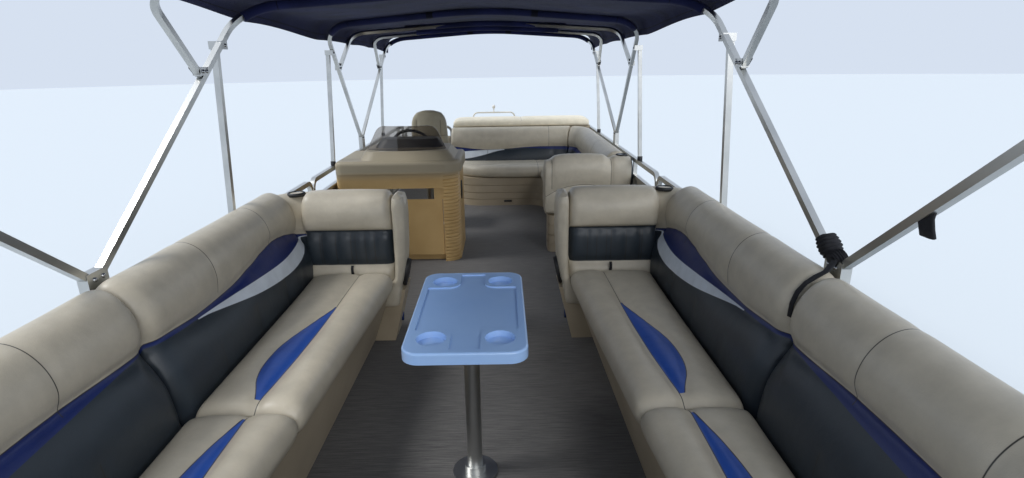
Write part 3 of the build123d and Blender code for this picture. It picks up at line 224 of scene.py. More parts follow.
def wovenFloor():
    # woven vinyl: grey-brown yarns, finer than a pixel, drawn as streaks across the boat
    finish, tree, shader = newFinish("wovenVinylFloor", Roughness=0.75, Sheen_Weight=0.15)
    yarn = cloud(tree, 1.0, 6.0, (9, 240, 1), Roughness=0.7)
    ramp = addNode(tree, "ShaderNodeValToRGB", {"Fac": yarn})
    for mark, position, code in zip(ramp.color_ramp.elements, (0.30, 0.72), ("#2b2b2c", "#6c6966")):
        mark.position = position
        mark.color = paint(code)
    patch = spread(tree, cloud(tree, 2.2, 5.0), 0.3, 0.7, 0.0, 0.35)
    tree.links.new(blend(tree, patch, ramp.outputs["Color"], paint("#565452")), shader.inputs["Base Color"])
    tree.links.new(bump(tree, yarn, 0.002, 0.7), shader.inputs["Normal"])
    return finish


def simpleFinish(name, tone, other, patch=0.1, grain=0.003, depth=0.0002, **values):
    finish, tree, shader = newFinish(name, **values)
    tint(tree, shader, tone, other, patch)
    roughen(tree, shader, grain, depth)
    return finish


drawnGrey = ("#c9c9c6", "#b9bab8", 0.34)  # two tones and roughness of the anodised tubes
gateSheet = {"margin": 0.035, "top": 0.137, "enamel": "#d3cbba"}


def gateFinish(name, node, along):
    # anodised frame round a cream sheet: the enamel covers what lies between the gate's rails
    finish = satinAluminium(name, *drawnGrey)
    tree, shader, metal = opened(finish)
    low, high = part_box(node)
    spots = axes(tree, spotsOn(tree))
    start, end = low["XYZ".index(along)], high["XYZ".index(along)]
    width = calc(tree, "COMPARE", spots[along], (start + end) / 2, (end - start) / 2 - gateSheet["margin"])
    foot, head = low.z + gateSheet["margin"], high.z - gateSheet["top"]
    upright = calc(tree, "COMPARE", spots["Z"], (foot + head) / 2, (head - foot) / 2)
    sheet = calc(tree, "MULTIPLY", width, upright)
    tree.links.new(blend(tree, sheet, metal, paint(gateSheet["enamel"])), shader.inputs["Base Color"])
    tree.links.new(calc(tree, "SUBTRACT", 1.0, sheet), shader.inputs["Metallic"])
    return finish


finishes = {
    "frameAluminium": satinAluminium("anodisedAluminium", *drawnGrey),
    "millAluminium": satinAluminium("millAluminium", "#aeb1b2", "#9a9da0", 0.46),
    "mouldedTan": mouldedPlastic("rotomouldedTan", "#c8ae85", "#bba077"),
    "mouldedConsole": consolePlasticPaintedSkylight(),
    "mouldedStone": mouldedPlastic("rotomouldedStone", "#b3a58e", "#a59780"),
    "floor": wovenFloor(),
    # painted sheet: cream enamel, smooth, faintly uneven
    "panelPaint": simpleFinish("creamEnamelSheet", "#d8d0bf", "#cec6b4", 0.6, 0.02, 0.0003, Roughness=0.35),
    "plywood": simpleFinish("marinePlywood", "#8a6a48", "#6f5336", 0.05, 0.004, 0.0004, Roughness=0.7),
    "blackPlastic": simpleFinish("blackNylon", "#1b1b1c", "#242425", 0.05, 0.002, 0.0002, Roughness=0.5),
    "blackRubber": simpleFinish("blackGrip", "#161616", "#1e1e1e", 0.05, 0.0015, 0.0003, Roughness=0.62),
    # gloss lacquer over castings: deep black with a clear reflection
    "motorBlack": simpleFinish("glossBlackLacquer", "#101114", "#15161a", 0.3, 0.05, 0.0004, Roughness=0.22,
                               Coat_Weight=0.6, Coat_Roughness=0.1),
    "propSteel": simpleFinish("polishedSteel", "#b8babc", "#a5a7aa", 0.05, 0.002, 0.0001, Metallic=1.0,
                              Roughness=0.2),
    # gloss white injection moulding; its base colour is painted blue-white, a painted reflection of the cloth
    # above it
    "tablePlasticPaintedReflection": simpleFinish("glossWhiteMouldingPaintedReflection", "#a6c8f4", "#9bbff0", 0.4, 0.02, 0.0002,
                                 Roughness=0.24, Coat_Weight=0.5, Coat_Roughness=0.12),
    # smoked acrylic: clear brown-grey sheet
    "smokedAcrylic": newFinish("smokedAcrylic", Base_Color=paint("#b3ada6"), Roughness=0.02,
                               Transmission_Weight=0.96, IOR=1.49)[0],
}

nodeFinish = {
    "frameAluminium": ("fence_port", "fence_starboard", "fence_bow", "fence_stern", "chair_pedestal",
                       "table_leg", "canopy_stays", "canopy_clips", "front_bows", "front_arms",
                       "rear_bows", "rear_arms", "ladder", "ladder_bracket", "canopy_mounts"),
    "millAluminium": ("pontoon_port", "pontoon_starboard", "deck_brackets", "cross_members", "motor_pod",
                      "tow_eyes", "deck_trim"),
    "mouldedTan": ("chair_shell",),
    "mouldedConsole": ("console_shell", "console_door"),
    "mouldedStone": ("settee_bases", "lounge_base", "sundeck_base"),
    "floor": ("floor_cover",),
    "plywood": ("deck_panel",),
    "panelPaint": ("fence_panels",),
    "blackPlastic": ("helm_column", "throttle", "dash_cover"),
    "blackRubber": ("helm_wheel",),
    "motorBlack": ("outboard_clamp", "outboard_swivel", "outboard_leg", "outboard_cowl", "outboard_gearcase"),
    "propSteel": ("propeller",),
    "tablePlasticPaintedReflection": ("table_top",),
    "smokedAcrylic": ("windshield",),
}
for gate, along in (("gate_port", "Y"), ("gate_starboard", "Y"), ("gate_bow", "X"), ("gate_stern", "X")):
    finishes[gate] = gateFinish("enamelled" + gate.title().replace("_", ""), gate, along)
    nodeFinish[gate] = (gate,)
for finishName, nodeNames in nodeFinish.items():
    for nodeName in nodeNames:
        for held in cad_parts[nodeName].material_slots:
            held.material = finishes[finishName]
print("stage: rigid pieces finished")


# ---- soft goods: shared ways of making

def curveAt(rows, along):  # value at a place along rows of (along, value)
    if along <= rows[0][0]:
        return rows[0][1]
    for (u0, v0), (u1, v1) in zip(rows, rows[1:]):
        if along <= u1:
            return v0 + (v1 - v0) * (along - u0) / (u1 - u0)
    return rows[-1][1]


def softCurve(rows, along, reach=0.06):  # the same, rounded over a short reach
    return sum(curveAt(rows, along + reach * k / 2) for k in (-2, -1, 0, 1, 2)) / 5


def loopThrough(points, count):  # closed rounded loop through points, evenly spaced
    dense = []
    total = len(points)
    for index in range(total):
        a, b, c, d = (Vector(points[(index + k - 1) % total]) for k in range(4))
        for step in range(8):
            t = step / 8
            dense.append(0.5 * (2 * b + (c - a) * t + (2 * a - 5 * b + 4 * c - d) * t * t
                                + (3 * b - a - 3 * c + d) * t ** 3))
    dense.append(dense[0])
    lengths = [0.0]
    for a, b in zip(dense, dense[1:]):
        lengths.append(lengths[-1] + (b - a).length)
    out, spot = [], 0
    for index in range(count):
        target = lengths[-1] * index / count
        while lengths[spot + 1] < target:
            spot += 1
        share = (target - lengths[spot]) / max(lengths[spot + 1] - lengths[spot], 1e-9)
        out.append(dense[spot].lerp(dense[spot + 1], share))
    return out


def pairsOf(ring, closed=True):
    return list(zip(ring, ring[1:] + (ring[:1] if closed else [])))


def firstRing(mesh, points, closed=True):  # points joined by edges, to extrude from
    ring = [mesh.verts.new(p) for p in points]
    for pair in pairsOf(ring, closed):
        mesh.edges.new(pair)
    return ring


def grow(mesh, ring, points, closed=True):  # extrudes a ring to the next row of points
    edges = [mesh.edges.get(pair) for pair in pairsOf(ring, closed)]
    made = bmesh.ops.extrude_edge_only(mesh, edges=edges)["geom"]
    fresh = {v for v in made if isinstance(v, bmesh.types.BMVert)}
    following = [next(e.other_vert(v) for e in v.link_edges if e.other_vert(v) in fresh) for v in ring]
    for v, p in zip(following, points):
        v.co = p
    return following


def capOver(mesh, ring):
    bmesh.ops.contextual_create(mesh, geom=[mesh.edges.get(pair) for pair in pairsOf(ring)])


capShares = (0.93, 0.8, 0.6, 0.38, 0.16)  # sizes of the rings that draw an end in


def closeEnd(mesh, ring, marks, markOf, outward, bulge):
    # draws the last ring inwards in steps and closes it, crowned by bulge
    centre = sum((v.co for v in ring), Vector()) / len(ring)
    start = [v.co.copy() for v in ring]
    for share in capShares:
        ring = grow(mesh, ring, [centre + (origin - centre) * share + outward * bulge * (1 - share * share)
                                 for origin in start])
        for v, mark in zip(ring, marks):
            markOf[v] = (mark[0] + (1 - share) * 0.02, mark[1])
    capOver(mesh, ring)


def drawPattern(mesh, markOf):  # faces the mesh outwards and writes its sewing pattern as a UV map
    bmesh.ops.recalc_face_normals(mesh, faces=mesh.faces)
    layer = mesh.loops.layers.uv.new("pattern")
    for face in mesh.faces:
        for loop in face.loops:
            loop[layer].uv = markOf.get(loop.vert, (0, 0))
        face.smooth = True


def sweepShell(name, rows, bulge):
    # a closed skin through rows of (ring of points, each point's pattern mark), extruded from the first
    mesh = bmesh.new()
    first = ring = firstRing(mesh, rows[0][0])
    markOf = dict(zip(ring, rows[0][1]))
    for points, marks in rows[1:]:
        ring = grow(mesh, ring, points)
        markOf.update(zip(ring, marks))
    for end, (points, marks), (inner, _) in ((ring, rows[-1], rows[-2]), (first, rows[0], rows[1])):
        outward = (sum(points, Vector()) - sum(inner, Vector())).normalized()
        closeEnd(mesh, end, marks, markOf, outward, bulge)
    drawPattern(mesh, markOf)
    return asPiece(name, mesh)


def seamGap(spot, seams):  # how far a pattern point is from the nearest seam
    best = 9.0
    for seam in seams:
        if seam[0] == "across":  # a seam at one place along, between two heights
            _, along, low, high = seam
            if low <= spot[1] <= high:
                best = min(best, abs(spot[0] - along))
        else:  # a seam that runs along, on a curve
            rows = seam[1]
            if rows[0][0] - 0.02 <= spot[0] <= rows[-1][0] + 0.02:
                best = min(best, abs(spot[1] - softCurve(rows, spot[0])))
    return best


filling = {"quality": 4, "mass": 0.4, "tension_stiffness": 20, "compression_stiffness": 20,
           "bending_stiffness": 2.0, "use_pressure": True, "uniform_pressure_force": 4.0,
           "vertex_group_mass": "sewn"}
stitch = {"pinned": 0.02, "depth": 0.006, "width": 0.011, "frames": 20}


def smoothed(piece):
    smooth = piece.modifiers.new("smooth", "SUBSURF")
    smooth.levels = smooth.render_levels = 1


def puff(piece, seams, held, cap):
    # fills the skin with air by cloth simulation; seams and the held part stay where they are
    marksOf = {}
    layer = piece.data.uv_layers["pattern"].data
    for loop in piece.data.loops:
        marksOf[loop.vertex_index] = layer[loop.index].uv.copy()
    group = piece.vertex_groups.new(name="sewn")
    start = [v.co.copy() for v in piece.data.vertices]
    normals = [v.normal.copy() for v in piece.data.vertices]
    gaps = [seamGap(marksOf[v.index], seams) for v in piece.data.vertices]
    for v, gap in zip(piece.data.vertices, gaps):
        weight = 1.0 if held(v.co, marksOf[v.index]) else max(0.0, 1 - gap / stitch["pinned"])
        group.add([v.index], weight, "REPLACE")
    cloth = piece.modifiers.new("filling", "CLOTH")
    for key, value in filling.items():
        setattr(cloth.settings, key, value)
    cloth.settings.effector_weights.gravity = 0
    cloth.collision_settings.use_collision = False
    scene = bpy.context.scene
    for number in range(1, stitch["frames"] + 1):
        scene.frame_set(number)
    graph = bpy.context.evaluated_depsgraph_get()
    filled = [v.co.copy() for v in piece.evaluated_get(graph).data.vertices]
    piece.modifiers.remove(cloth)
    scene.frame_set(1)
    for v, origin, swollen in zip(piece.data.vertices, start, filled):
        move = swollen - origin
        if move.length > cap:
            move *= cap / move.length
        v.co = origin + move
    for v, normal, gap in zip(piece.data.vertices, normals, gaps):  # the thread pulls the skin in
        v.co -= normal * stitch["depth"] * math.exp(-(gap / stitch["width"]) ** 2)
    piece.vertex_groups.clear()
    smoothed(piece)


def heightSpan(rows):
    return min(y for _, y in rows) - 0.01, max(y for _, y in rows) + 0.01


def zoneMask(tree, u, v, rows, span):  # how far v lies above the curve of rows, in pattern metres
    low, high = span
    first, last = rows[0][0], rows[-1][0]
    curve = addNode(tree, "ShaderNodeFloatCurve", {"Value": spread(tree, u, first, last)})
    line = curve.mapping.curves[0]
    steps = 24
    spots = [(k / steps, (softCurve(rows, first + (last - first) * k / steps) - low) / (high - low))
             for k in range(steps + 1)]
    line.points[0].location, line.points[1].location = spots[0], spots[-1]
    for spot in spots[1:-1]:
        line.points.new(*spot)
    for point in line.points:
        point.handle_type = "VECTOR"
    curve.mapping.update()
    return calc(tree, "SUBTRACT", v, spread(tree, curve.outputs[0], 0.0, 1.0, low, high))


vinyl = {"tan": "#c2b9a6", "charcoal": "#2a333b", "navy": "#0d2464", "royal": "#2450a6", "white": "#dce3ea",
         "cream": "#e6dcc4", "stone": "#a39a82"}
sewing = {"hem": 0.0008, "threadIn": 0.0008, "threadOut": 0.0026, "thread": "#2a2724", "pebbles": 330.0}


def vinylCloth(name, zones=(), seams=(), base=vinyl["tan"]):
    # marine vinyl: calendered skin with a fine leather grain, a soft sheen, sewn with thread
    finish, tree, shader = newFinish(name, Roughness=0.45, Specular_IOR_Level=0.45, Coat_Weight=0.22,
                                     Coat_Roughness=0.32)
    u, v, _ = axes(tree, addNode(tree, "ShaderNodeUVMap", uv_map="pattern").outputs[0])
    drift = spread(tree, cloud(tree, 11.0, 8.0, Roughness=0.62), 0.3, 0.7, 0.90, 1.08)
    tone = addNode(tree, "ShaderNodeRGB").outputs[0]
    tone.default_value = paint(base)
    hem = sewing["hem"]
    for code, lower, upper in zones:
        span = heightSpan(lower + upper)
        enter = spread(tree, zoneMask(tree, u, v, lower, span), -hem, hem)
        leave = spread(tree, zoneMask(tree, u, v, upper, span), -hem, hem, 1.0, 0.0)
        within = inside(tree, u, lower[0][0], lower[-1][0])
        mask = calc(tree, "MULTIPLY", calc(tree, "MULTIPLY", enter, leave), within)
        tone = blend(tree, mask, tone, paint(code))
    thread = 0.0
    for kind, *rest in seams:
        if kind == "across":
            along, low, high = rest
            away, within = calc(tree, "SUBTRACT", u, along), inside(tree, v, low, high)
        else:
            rows = rest[0]
            away = zoneMask(tree, u, v, rows, heightSpan(rows))
            within = inside(tree, u, rows[0][0], rows[-1][0])
        line = spread(tree, calc(tree, "ABSOLUTE", away), sewing["threadIn"], sewing["threadOut"], 1.0, 0.0)
        thread = calc(tree, "MAXIMUM", thread, calc(tree, "MULTIPLY", line, within))
    tone = blend(tree, thread, tone, paint(sewing["thread"]))
    toned = addNode(tree, "ShaderNodeVectorMath", {0: tone, 1: drift}, operation="MULTIPLY")
    tree.links.new(toned.outputs[0], shader.inputs["Base Color"])
    # leather grain of about 1.5 mm, drawn at 3 mm so that it shows
    pebble = addNode(tree, "ShaderNodeTexVoronoi", {"Vector": spotsOn(tree), "Scale": sewing["pebbles"]})
    fine = bump(tree, pebble.outputs["Distance"], 0.0004, 0.5)
    wide = bump(tree, cloud(tree, 16.0, 4.0), 0.006, 0.35, Normal=fine)
    tree.links.new(wide, shader.inputs["Normal"])
    return finish


def mirrored(piece, name):  # the same cushion on the other side of the boat
    mesh = bmesh.new()
    mesh.from_mesh(piece.data)
    bmesh.ops.scale(mesh, verts=mesh.verts, vec=(-1, 1, 1))
    bmesh.ops.reverse_faces(mesh, faces=mesh.faces)
    twin = asPiece(name, mesh, piece.data.materials[0])
    smoothed(twin)
    return twin


def below(height, over=9.0):  # what the boat holds of a cushion: its foot, and its back from a mark on
    return lambda co, mark: co.z < deckLevel + height or mark[1] > over


def hung(piece, body):
    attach(piece, body)


def cushion(name, rows, bulge, seams, held, cap, finish, node, body="boat", twin=None):
    # sews, fills and dresses a cushion, mirrors it if it has a twin, and hangs it on its body
    piece = sweepShell(name, rows, bulge)
    puff(piece, seams, held, cap)
    piece.data.materials.append(finish)
    made = [piece, mirrored(piece, twin)] if twin else [piece]
    for one in made:
        hung(one, body)
        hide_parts(node)
    return made


def stations(start, end, step):  # even places from start to end, about a step apart
    steps = round((end - start) / step)
    return [start + (end - start) * k / steps for k in range(steps + 1)]


def stationsOf(part):  # a cushion's stations from its start to its end
    return stations(part["start"], part["end"], part["step"])


def roundOff(near, reach):  # 0 well inside a cushion, rising to 1 at its end as a quarter circle
    return 1 - math.sqrt(max(0.0, 1 - max(0.0, 1 - near / reach) ** 2))


def sectionRing(spots, count, markAt):  # a rounded ring through spots, and the mark of each point
    loop = loopThrough(spots, count)
    return [place(*p) for p in loop], [markAt(p) for p in loop]


def acrossSeams(spots, low, high):
    return [("across", spot, low, high) for spot in spots]


# ---- bow settees

setteeBack = {
    # x and height of the section, from the hidden lower corner round the front to the rear
    "section": ((1.224, 0.345), (1.10, 0.338), (0.988, 0.345), (0.975, 0.40), (0.977, 0.48), (0.990, 0.56),
                (1.020, 0.625), (1.050, 0.672), (1.060, 0.695), (1.046, 0.73), (1.042, 0.785), (1.062, 0.85),
                (1.106, 0.902), (1.165, 0.925), (1.210, 0.908), (1.230, 0.865), (1.233, 0.80), (1.226, 0.72),
                (1.224, 0.55)),
    "around": 72, "step": 0.028, "crest": 0.925,
    "foreNavyTop": [(0.76, 0.69), (0.95, 0.70), (1.1, 0.712), (1.28, 0.722), (1.4, 0.725), (1.53, 0.724),
                    (1.72, 0.712), (1.91, 0.703), (1.99, 0.70)],
    "foreNavyLow": [(0.76, 0.66), (0.95, 0.664), (1.1, 0.668), (1.34, 0.674), (1.44, 0.680), (1.57, 0.684),
                    (1.71, 0.690), (1.88, 0.694), (1.99, 0.692)],
    "aftNavyTop": [(1.97, 0.704), (2.11, 0.690), (2.3, 0.674), (2.46, 0.672), (2.6, 0.678), (2.71, 0.690),
                   (2.81, 0.704), (2.89, 0.718), (2.97, 0.730), (3.05, 0.735), (3.155, 0.725), (3.29, 0.698),
                   (3.40, 0.668), (3.8, 0.655)],
    "aftNavyLow": [(1.97, 0.690), (2.11, 0.674), (2.3, 0.660), (2.47, 0.650), (2.58, 0.645), (2.69, 0.640),
                   (2.82, 0.634), (2.95, 0.628), (3.08, 0.627), (3.2, 0.634), (3.3, 0.643), (3.40, 0.655),
                   (3.8, 0.65)],
    "aftWhiteLow": [(2.27, 0.662), (2.4, 0.640), (2.5, 0.623), (2.6, 0.605), (2.7, 0.588), (2.82, 0.573),
                    (2.95, 0.560), (3.09, 0.553), (3.21, 0.560), (3.3, 0.578), (3.36, 0.610), (3.40, 0.650),
                    (3.8, 0.65)],
    "foreSeams": (1.18, 1.58), "aftSeams": (2.44, 3.0, 3.362),
    "channels": (0.95, 1.58, 2.28, 2.62, 2.96, 3.2), "rollFoot": 0.695, "rollReach": 0.11, "frontDepth": 1.15,
    "ridge": 1.165, "hiddenFoot": 0.4, "turn": 88, "turnSteps": 14, "turnRun": 0.30,
    "pivot": (0.98, 3.355), "tuck": 0.74, "cornerCrest": 0.893, "dome": 0.030, "domeReach": 0.07,
}


def backRing(part, y, turn, navyTop, near=9.0):  # the section at a station, turned about the corner
    dome = part["dome"] * roundOff(near, part["domeReach"])
    points = []
    for x, z in part["section"]:
        reach = 1 - ((z - part["rollFoot"]) / part["rollReach"]) ** 2
        rise = (navyTop - part["rollFoot"]) * reach * reach if reach > 0 and x < part["frontDepth"] else 0.0
        points.append((x, 0.0, z + rise))
    ring, marks = [], []
    px, py = part["pivot"]
    crest = part["crest"]
    for spot in loopThrough(points, part["around"]):
        x, z = spot.x, spot.z
        behind = x > part["ridge"] and z > part["hiddenFoot"]
        if turn:
            radius = max(x - px, 0.004)
            settle = min(1.0, turn / 0.22) * (crest - part["cornerCrest"])
            ring.append(place(px + radius * math.cos(turn), py + part["tuck"] * radius * math.sin(turn),
                              z - settle * max(0.0, (z - 0.7) / (crest - 0.7))))
        else:
            ring.append(place(x + dome * min(1.0, max(0.0, (1.20 - x) / 0.12)), y,
                              z - 0.6 * dome * max(0.0, (z - 0.74) / (crest - 0.74))))
        marks.append((y, 2 * crest - z if behind else z))
    return ring, marks


def backRows(part, start, end, bend, navyTop):
    rows = [backRing(part, y, 0.0, softCurve(navyTop, y), min(y - start, 9.0 if bend else end - y))
            for y in stations(start, end, part["step"])]
    for index in range(1, part["turnSteps"] + 1 if bend else 1):
        share = index / part["turnSteps"]
        y = end + part["turnRun"] * share
        rows.append(backRing(part, y, math.radians(part["turn"]) * share, softCurve(navyTop, y)))
    return rows


def backZones(part, side):
    top, low = part[side + "NavyTop"], part[side + "NavyLow"]
    zones = [(vinyl["charcoal"], [(top[0][0], 0.30), (top[-1][0], 0.30)], top), (vinyl["navy"], low, top)]
    if side == "aft":
        zones.append((vinyl["white"], part["aftWhiteLow"], [row for row in low if row[0] >= 2.11]))
    return zones


for side, start, end, bend in (("fore", 0.785, 1.976, False), ("aft", 1.986, 3.355, True)):
    navyTop = setteeBack[side + "NavyTop"]
    channels = [along for along in setteeBack["channels"] if start < along < end]
    seams = (acrossSeams(setteeBack[side + "Seams"], 0.70, 1.2) + acrossSeams(channels, 0.34, 0.55)
             + [("along", navyTop)])
    cloth = vinylCloth("vinylBack" + side.title(), backZones(setteeBack, side), seams)
    cushion("setteeBackPort" + side.title(), backRows(setteeBack, start, end, bend, navyTop), 0.012, seams,
            below(0.40, 1.02), 0.012, cloth, "settee_backs", twin="setteeBackStarboard" + side.title())
print("stage: settee backs")

setteeSeat = {
    "around": 60, "step": 0.022, "outer": 0.968, "nose": 0.034, "noseReach": 0.075,
    "edge": [(0.78, 0.700), (1.98, 0.590), (3.34, 0.508)],
    "foreSeam": [(0.76, 0.765), (1.35, 0.752), (1.99, 0.752)],
    "aftSeam": [(1.97, 0.755), (2.3, 0.720), (2.6, 0.704), (2.85, 0.697), (3.36, 0.690)],
    "foreTear": [(0.95, 0.762), (1.15, 0.800), (1.4, 0.828), (1.6, 0.820), (1.75, 0.800), (1.93, 0.757)],
    "aftTear": [(2.04, 0.757), (2.12, 0.800), (2.2, 0.824), (2.32, 0.832), (2.45, 0.818), (2.62, 0.762),
                (2.84, 0.698)],
}


def noseDrop(part, y):  # how far a seat's top falls toward its rounded ends
    return part["nose"] * roundOff(min(y - part["span"][0], part["span"][1] - y), part["noseReach"])


def seatRing(part, y, seam):
    edge = softCurve(part["edge"], y)
    outer = part["outer"]
    drop = noseDrop(part, y)
    section = ((outer, 0.332), ((edge + outer) / 2, 0.330), (edge + 0.035, 0.332), (edge + 0.004, 0.355),
               (edge - 0.006, 0.395), (edge + 0.004, 0.432), (edge + 0.035, 0.455), (edge + 0.085, 0.462),
               ((edge + seam) / 2 + 0.03, 0.462), (seam - 0.02, 0.457), (seam, 0.450), (seam + 0.02, 0.456),
               (seam + 0.08, 0.460), (outer - 0.07, 0.456), (outer - 0.012, 0.440), (outer, 0.39))
    ring, marks = [], []
    for spot in loopThrough([(x, 0.0, z) for x, z in section], part["around"]):
        high = max(0.0, (spot.z - 0.36) / 0.10)
        ring.append(place(spot.x + drop * 0.4 * (1 if spot.x < edge + 0.05 else 0), y, spot.z - drop * high))
        fall = max(0.0, 0.452 - spot.z) if spot.x < edge + 0.05 else 0.0
        marks.append((y, spot.x - fall if spot.z > 0.36 else 0.3))
    return ring, marks


for side, start, end in (("fore", 0.785, 1.976), ("aft", 1.984, 3.325)):
    seam = setteeSeat[side + "Seam"]
    tear = setteeSeat[side + "Tear"]
    setteeSeat["span"] = (start, end)
    rows = [seatRing(setteeSeat, y, softCurve(seam, y)) for y in stations(start, end, setteeSeat["step"])]
    inner = [(along, softCurve(seam, along)) for along, _ in tear]
    seams = [("along", seam), ("along", tear)]
    cloth = vinylCloth("vinylSeat" + side.title(), [(vinyl["royal"], inner, tear)], seams)
    cushion("setteeSeatPort" + side.title(), rows, 0.006, seams, below(0.37), 0.010, cloth,
            "settee_seats", twin="setteeSeatStarboard" + side.title())
print("stage: settee seats")

endBack = {
    "section": ((3.555, 0.345), (3.44, 0.340), (3.350, 0.346), (3.338, 0.40), (3.340, 0.452), (3.364, 0.486),
                (3.350, 0.52), (3.345, 0.60), (3.350, 0.655), (3.366, 0.685), (3.332, 0.700), (3.322, 0.76),
                (3.330, 0.84), (3.360, 0.892), (3.42, 0.906), (3.50, 0.895), (3.545, 0.85), (3.556, 0.75),
                (3.556, 0.5)),
    "start": 0.506, "end": 1.002, "around": 72, "step": 0.02, "crest": 0.906, "round": 0.035, "centre": 3.45,
    "ridge": 3.42, "hiddenFoot": 0.4,
    "channels": (0.607, 0.660, 0.716, 0.742, 0.828, 0.905, 0.918),
}


def endRing(part, x):
    turn = roundOff(min(x - part["start"], part["end"] - x), part["round"])
    loop = loopThrough([(x, y, z) for y, z in part["section"]], part["around"])
    ring = [place(p.x, p.y + (part["centre"] - p.y) * 0.2 * turn,
                  p.z - 0.03 * turn * max(0.0, (p.z - 0.7) / 0.2)) for p in loop]
    return ring, [(x, 2 * part["crest"] - p.z if p.y > part["ridge"] and p.z > part["hiddenFoot"] else p.z)
                  for p in loop]


rows = [endRing(endBack, x) for x in stationsOf(endBack)]
wide, low = [(0.4, 0.688), (1.1, 0.688)], [(0.4, 0.486), (1.1, 0.486)]
seams = [("along", wide), ("along", low)] + acrossSeams(endBack["channels"], 0.49, 0.67)
cloth = vinylCloth("vinylEndBack", [(vinyl["charcoal"], low, wide)], seams)
cushion("setteeEndBackPort", rows, 0.006, seams, below(0.37, 1.0), 0.010, cloth, "settee_end_backs",
        twin="setteeEndBackStarboard")

bolsterShape = {
    # height, aisle face, outboard face, front
    "rows": ((0.235, 0.490, 0.600, 3.321), (0.26, 0.484, 0.602, 3.314), (0.30, 0.477, 0.600, 3.312),
             (0.345, 0.470, 0.560, 3.314), (0.40, 0.461, 0.503, 3.318), (0.50, 0.448, 0.499, 3.322),
             (0.62, 0.441, 0.499, 3.324), (0.75, 0.438, 0.499, 3.326), (0.84, 0.439, 0.499, 3.328),
             (0.874, 0.444, 0.495, 3.336)),
    "rear": 3.553, "step": 0.02, "around": 44,
}


def bolsterRing(part, z):
    near, far, front = (curveAt([(row[0], row[k]) for row in part["rows"]], z) for k in (1, 2, 3))
    rear, middle = part["rear"], (near + far) / 2
    section = ((near, front + 0.035), (near + 0.014, front + 0.006), (middle, front),
               (far - 0.012, front + 0.006), (far, front + 0.035), (far, rear - 0.03),
               (far - 0.014, rear - 0.004), (middle, rear), (near + 0.014, rear - 0.006),
               (near, rear - 0.035))
    return sectionRing([(x, y, z) for x, y in section], part["around"], lambda p: (p.y, z))


heights = stations(bolsterShape["rows"][0][0], bolsterShape["rows"][-1][0], bolsterShape["step"])
bolster, bolsterTwin = cushion(
    "setteeBolsterPort", [bolsterRing(bolsterShape, z) for z in heights], 0.014,
    [("along", [(3.2, 0.352), (3.6, 0.352)])],
    lambda co, mark: co.x > place(0.493, 0, 0).x or co.z < deckLevel + 0.25, 0.008, vinylCloth("vinylPlain"),
    "settee_end_backs", twin="setteeBolsterStarboard")
print("stage: settee ends")


# ---- stern lounge

loungeBack = {
    # offset behind the face and height, from the hidden lower corner round the front to the rear
    "section": ((0.245, 0.345), (0.12, 0.338), (0.010, 0.345), (-0.002, 0.40), (0.000, 0.47), (0.014, 0.54),
                (0.038, 0.585), (0.050, 0.606), (0.034, 0.640), (0.030, 0.69), (0.046, 0.76), (0.088, 0.822),
                (0.140, 0.842), (0.195, 0.832), (0.236, 0.785), (0.248, 0.72), (0.247, 0.62), (0.245, 0.48)),
    "around": 64, "step": 0.035, "crest": 0.842, "seam": 0.606,
    "start": 5.205, "bend": (0.86, 7.08), "bendReach": 0.12, "end": -0.485,
    "rollLow": [(-0.60, 0.64), (-0.50, 0.626), (-0.25, 0.592), (-0.05, 0.572), (0.15, 0.580), (0.35, 0.598),
                (0.60, 0.610), (0.86, 0.606), (1.10, 0.600), (3.5, 0.600)],
    "navyLow": [(-0.60, 0.55), (-0.48, 0.557), (-0.28, 0.566), (-0.10, 0.572), (0.15, 0.579), (0.35, 0.594),
                (0.60, 0.585), (0.86, 0.570), (1.10, 0.562), (3.5, 0.562)],
    "whiteLow": [(-0.60, 0.47), (-0.43, 0.474), (-0.29, 0.479), (-0.17, 0.502), (-0.05, 0.530), (0.06, 0.560),
                 (0.155, 0.574)],
}


def loungeStations(part):  # rows of (distance along from the starboard end, spot, way out)
    bendX, bendY = part["bend"]
    reach = part["bendReach"]
    arc = reach * math.pi / 2
    runPort = bendY - part["start"]
    rows = [(x, (x, bendY + reach), (0, 1)) for x in stations(part["end"], bendX, part["step"])]
    for k in range(1, 12):
        turn = math.radians(90) * k / 12
        rows.append((bendX + arc * k / 12, (bendX + reach * math.sin(turn), bendY + reach * math.cos(turn)),
                     (math.sin(turn), math.cos(turn))))
    return rows + [(bendX + arc + run, (bendX + reach, bendY - run), (1, 0))
                   for run in stations(0.0, runPort, part["step"])]


def loungeRing(part, along, spot, out):
    rise = softCurve(part["rollLow"], along) - part["seam"]
    points = [(o, 0.0, z + rise * max(0.0, 1 - ((z - part["seam"]) / 0.13) ** 2) ** 2 if o < 0.14 else z)
              for o, z in part["section"]]
    ring, marks = [], []
    for p in loopThrough(points, part["around"]):
        ring.append(place(spot[0] + out[0] * p.x, spot[1] + out[1] * p.x, p.z))
        marks.append((along, 2 * part["crest"] - p.z if p.x > 0.14 and p.z > 0.4 else p.z))
    return ring, marks


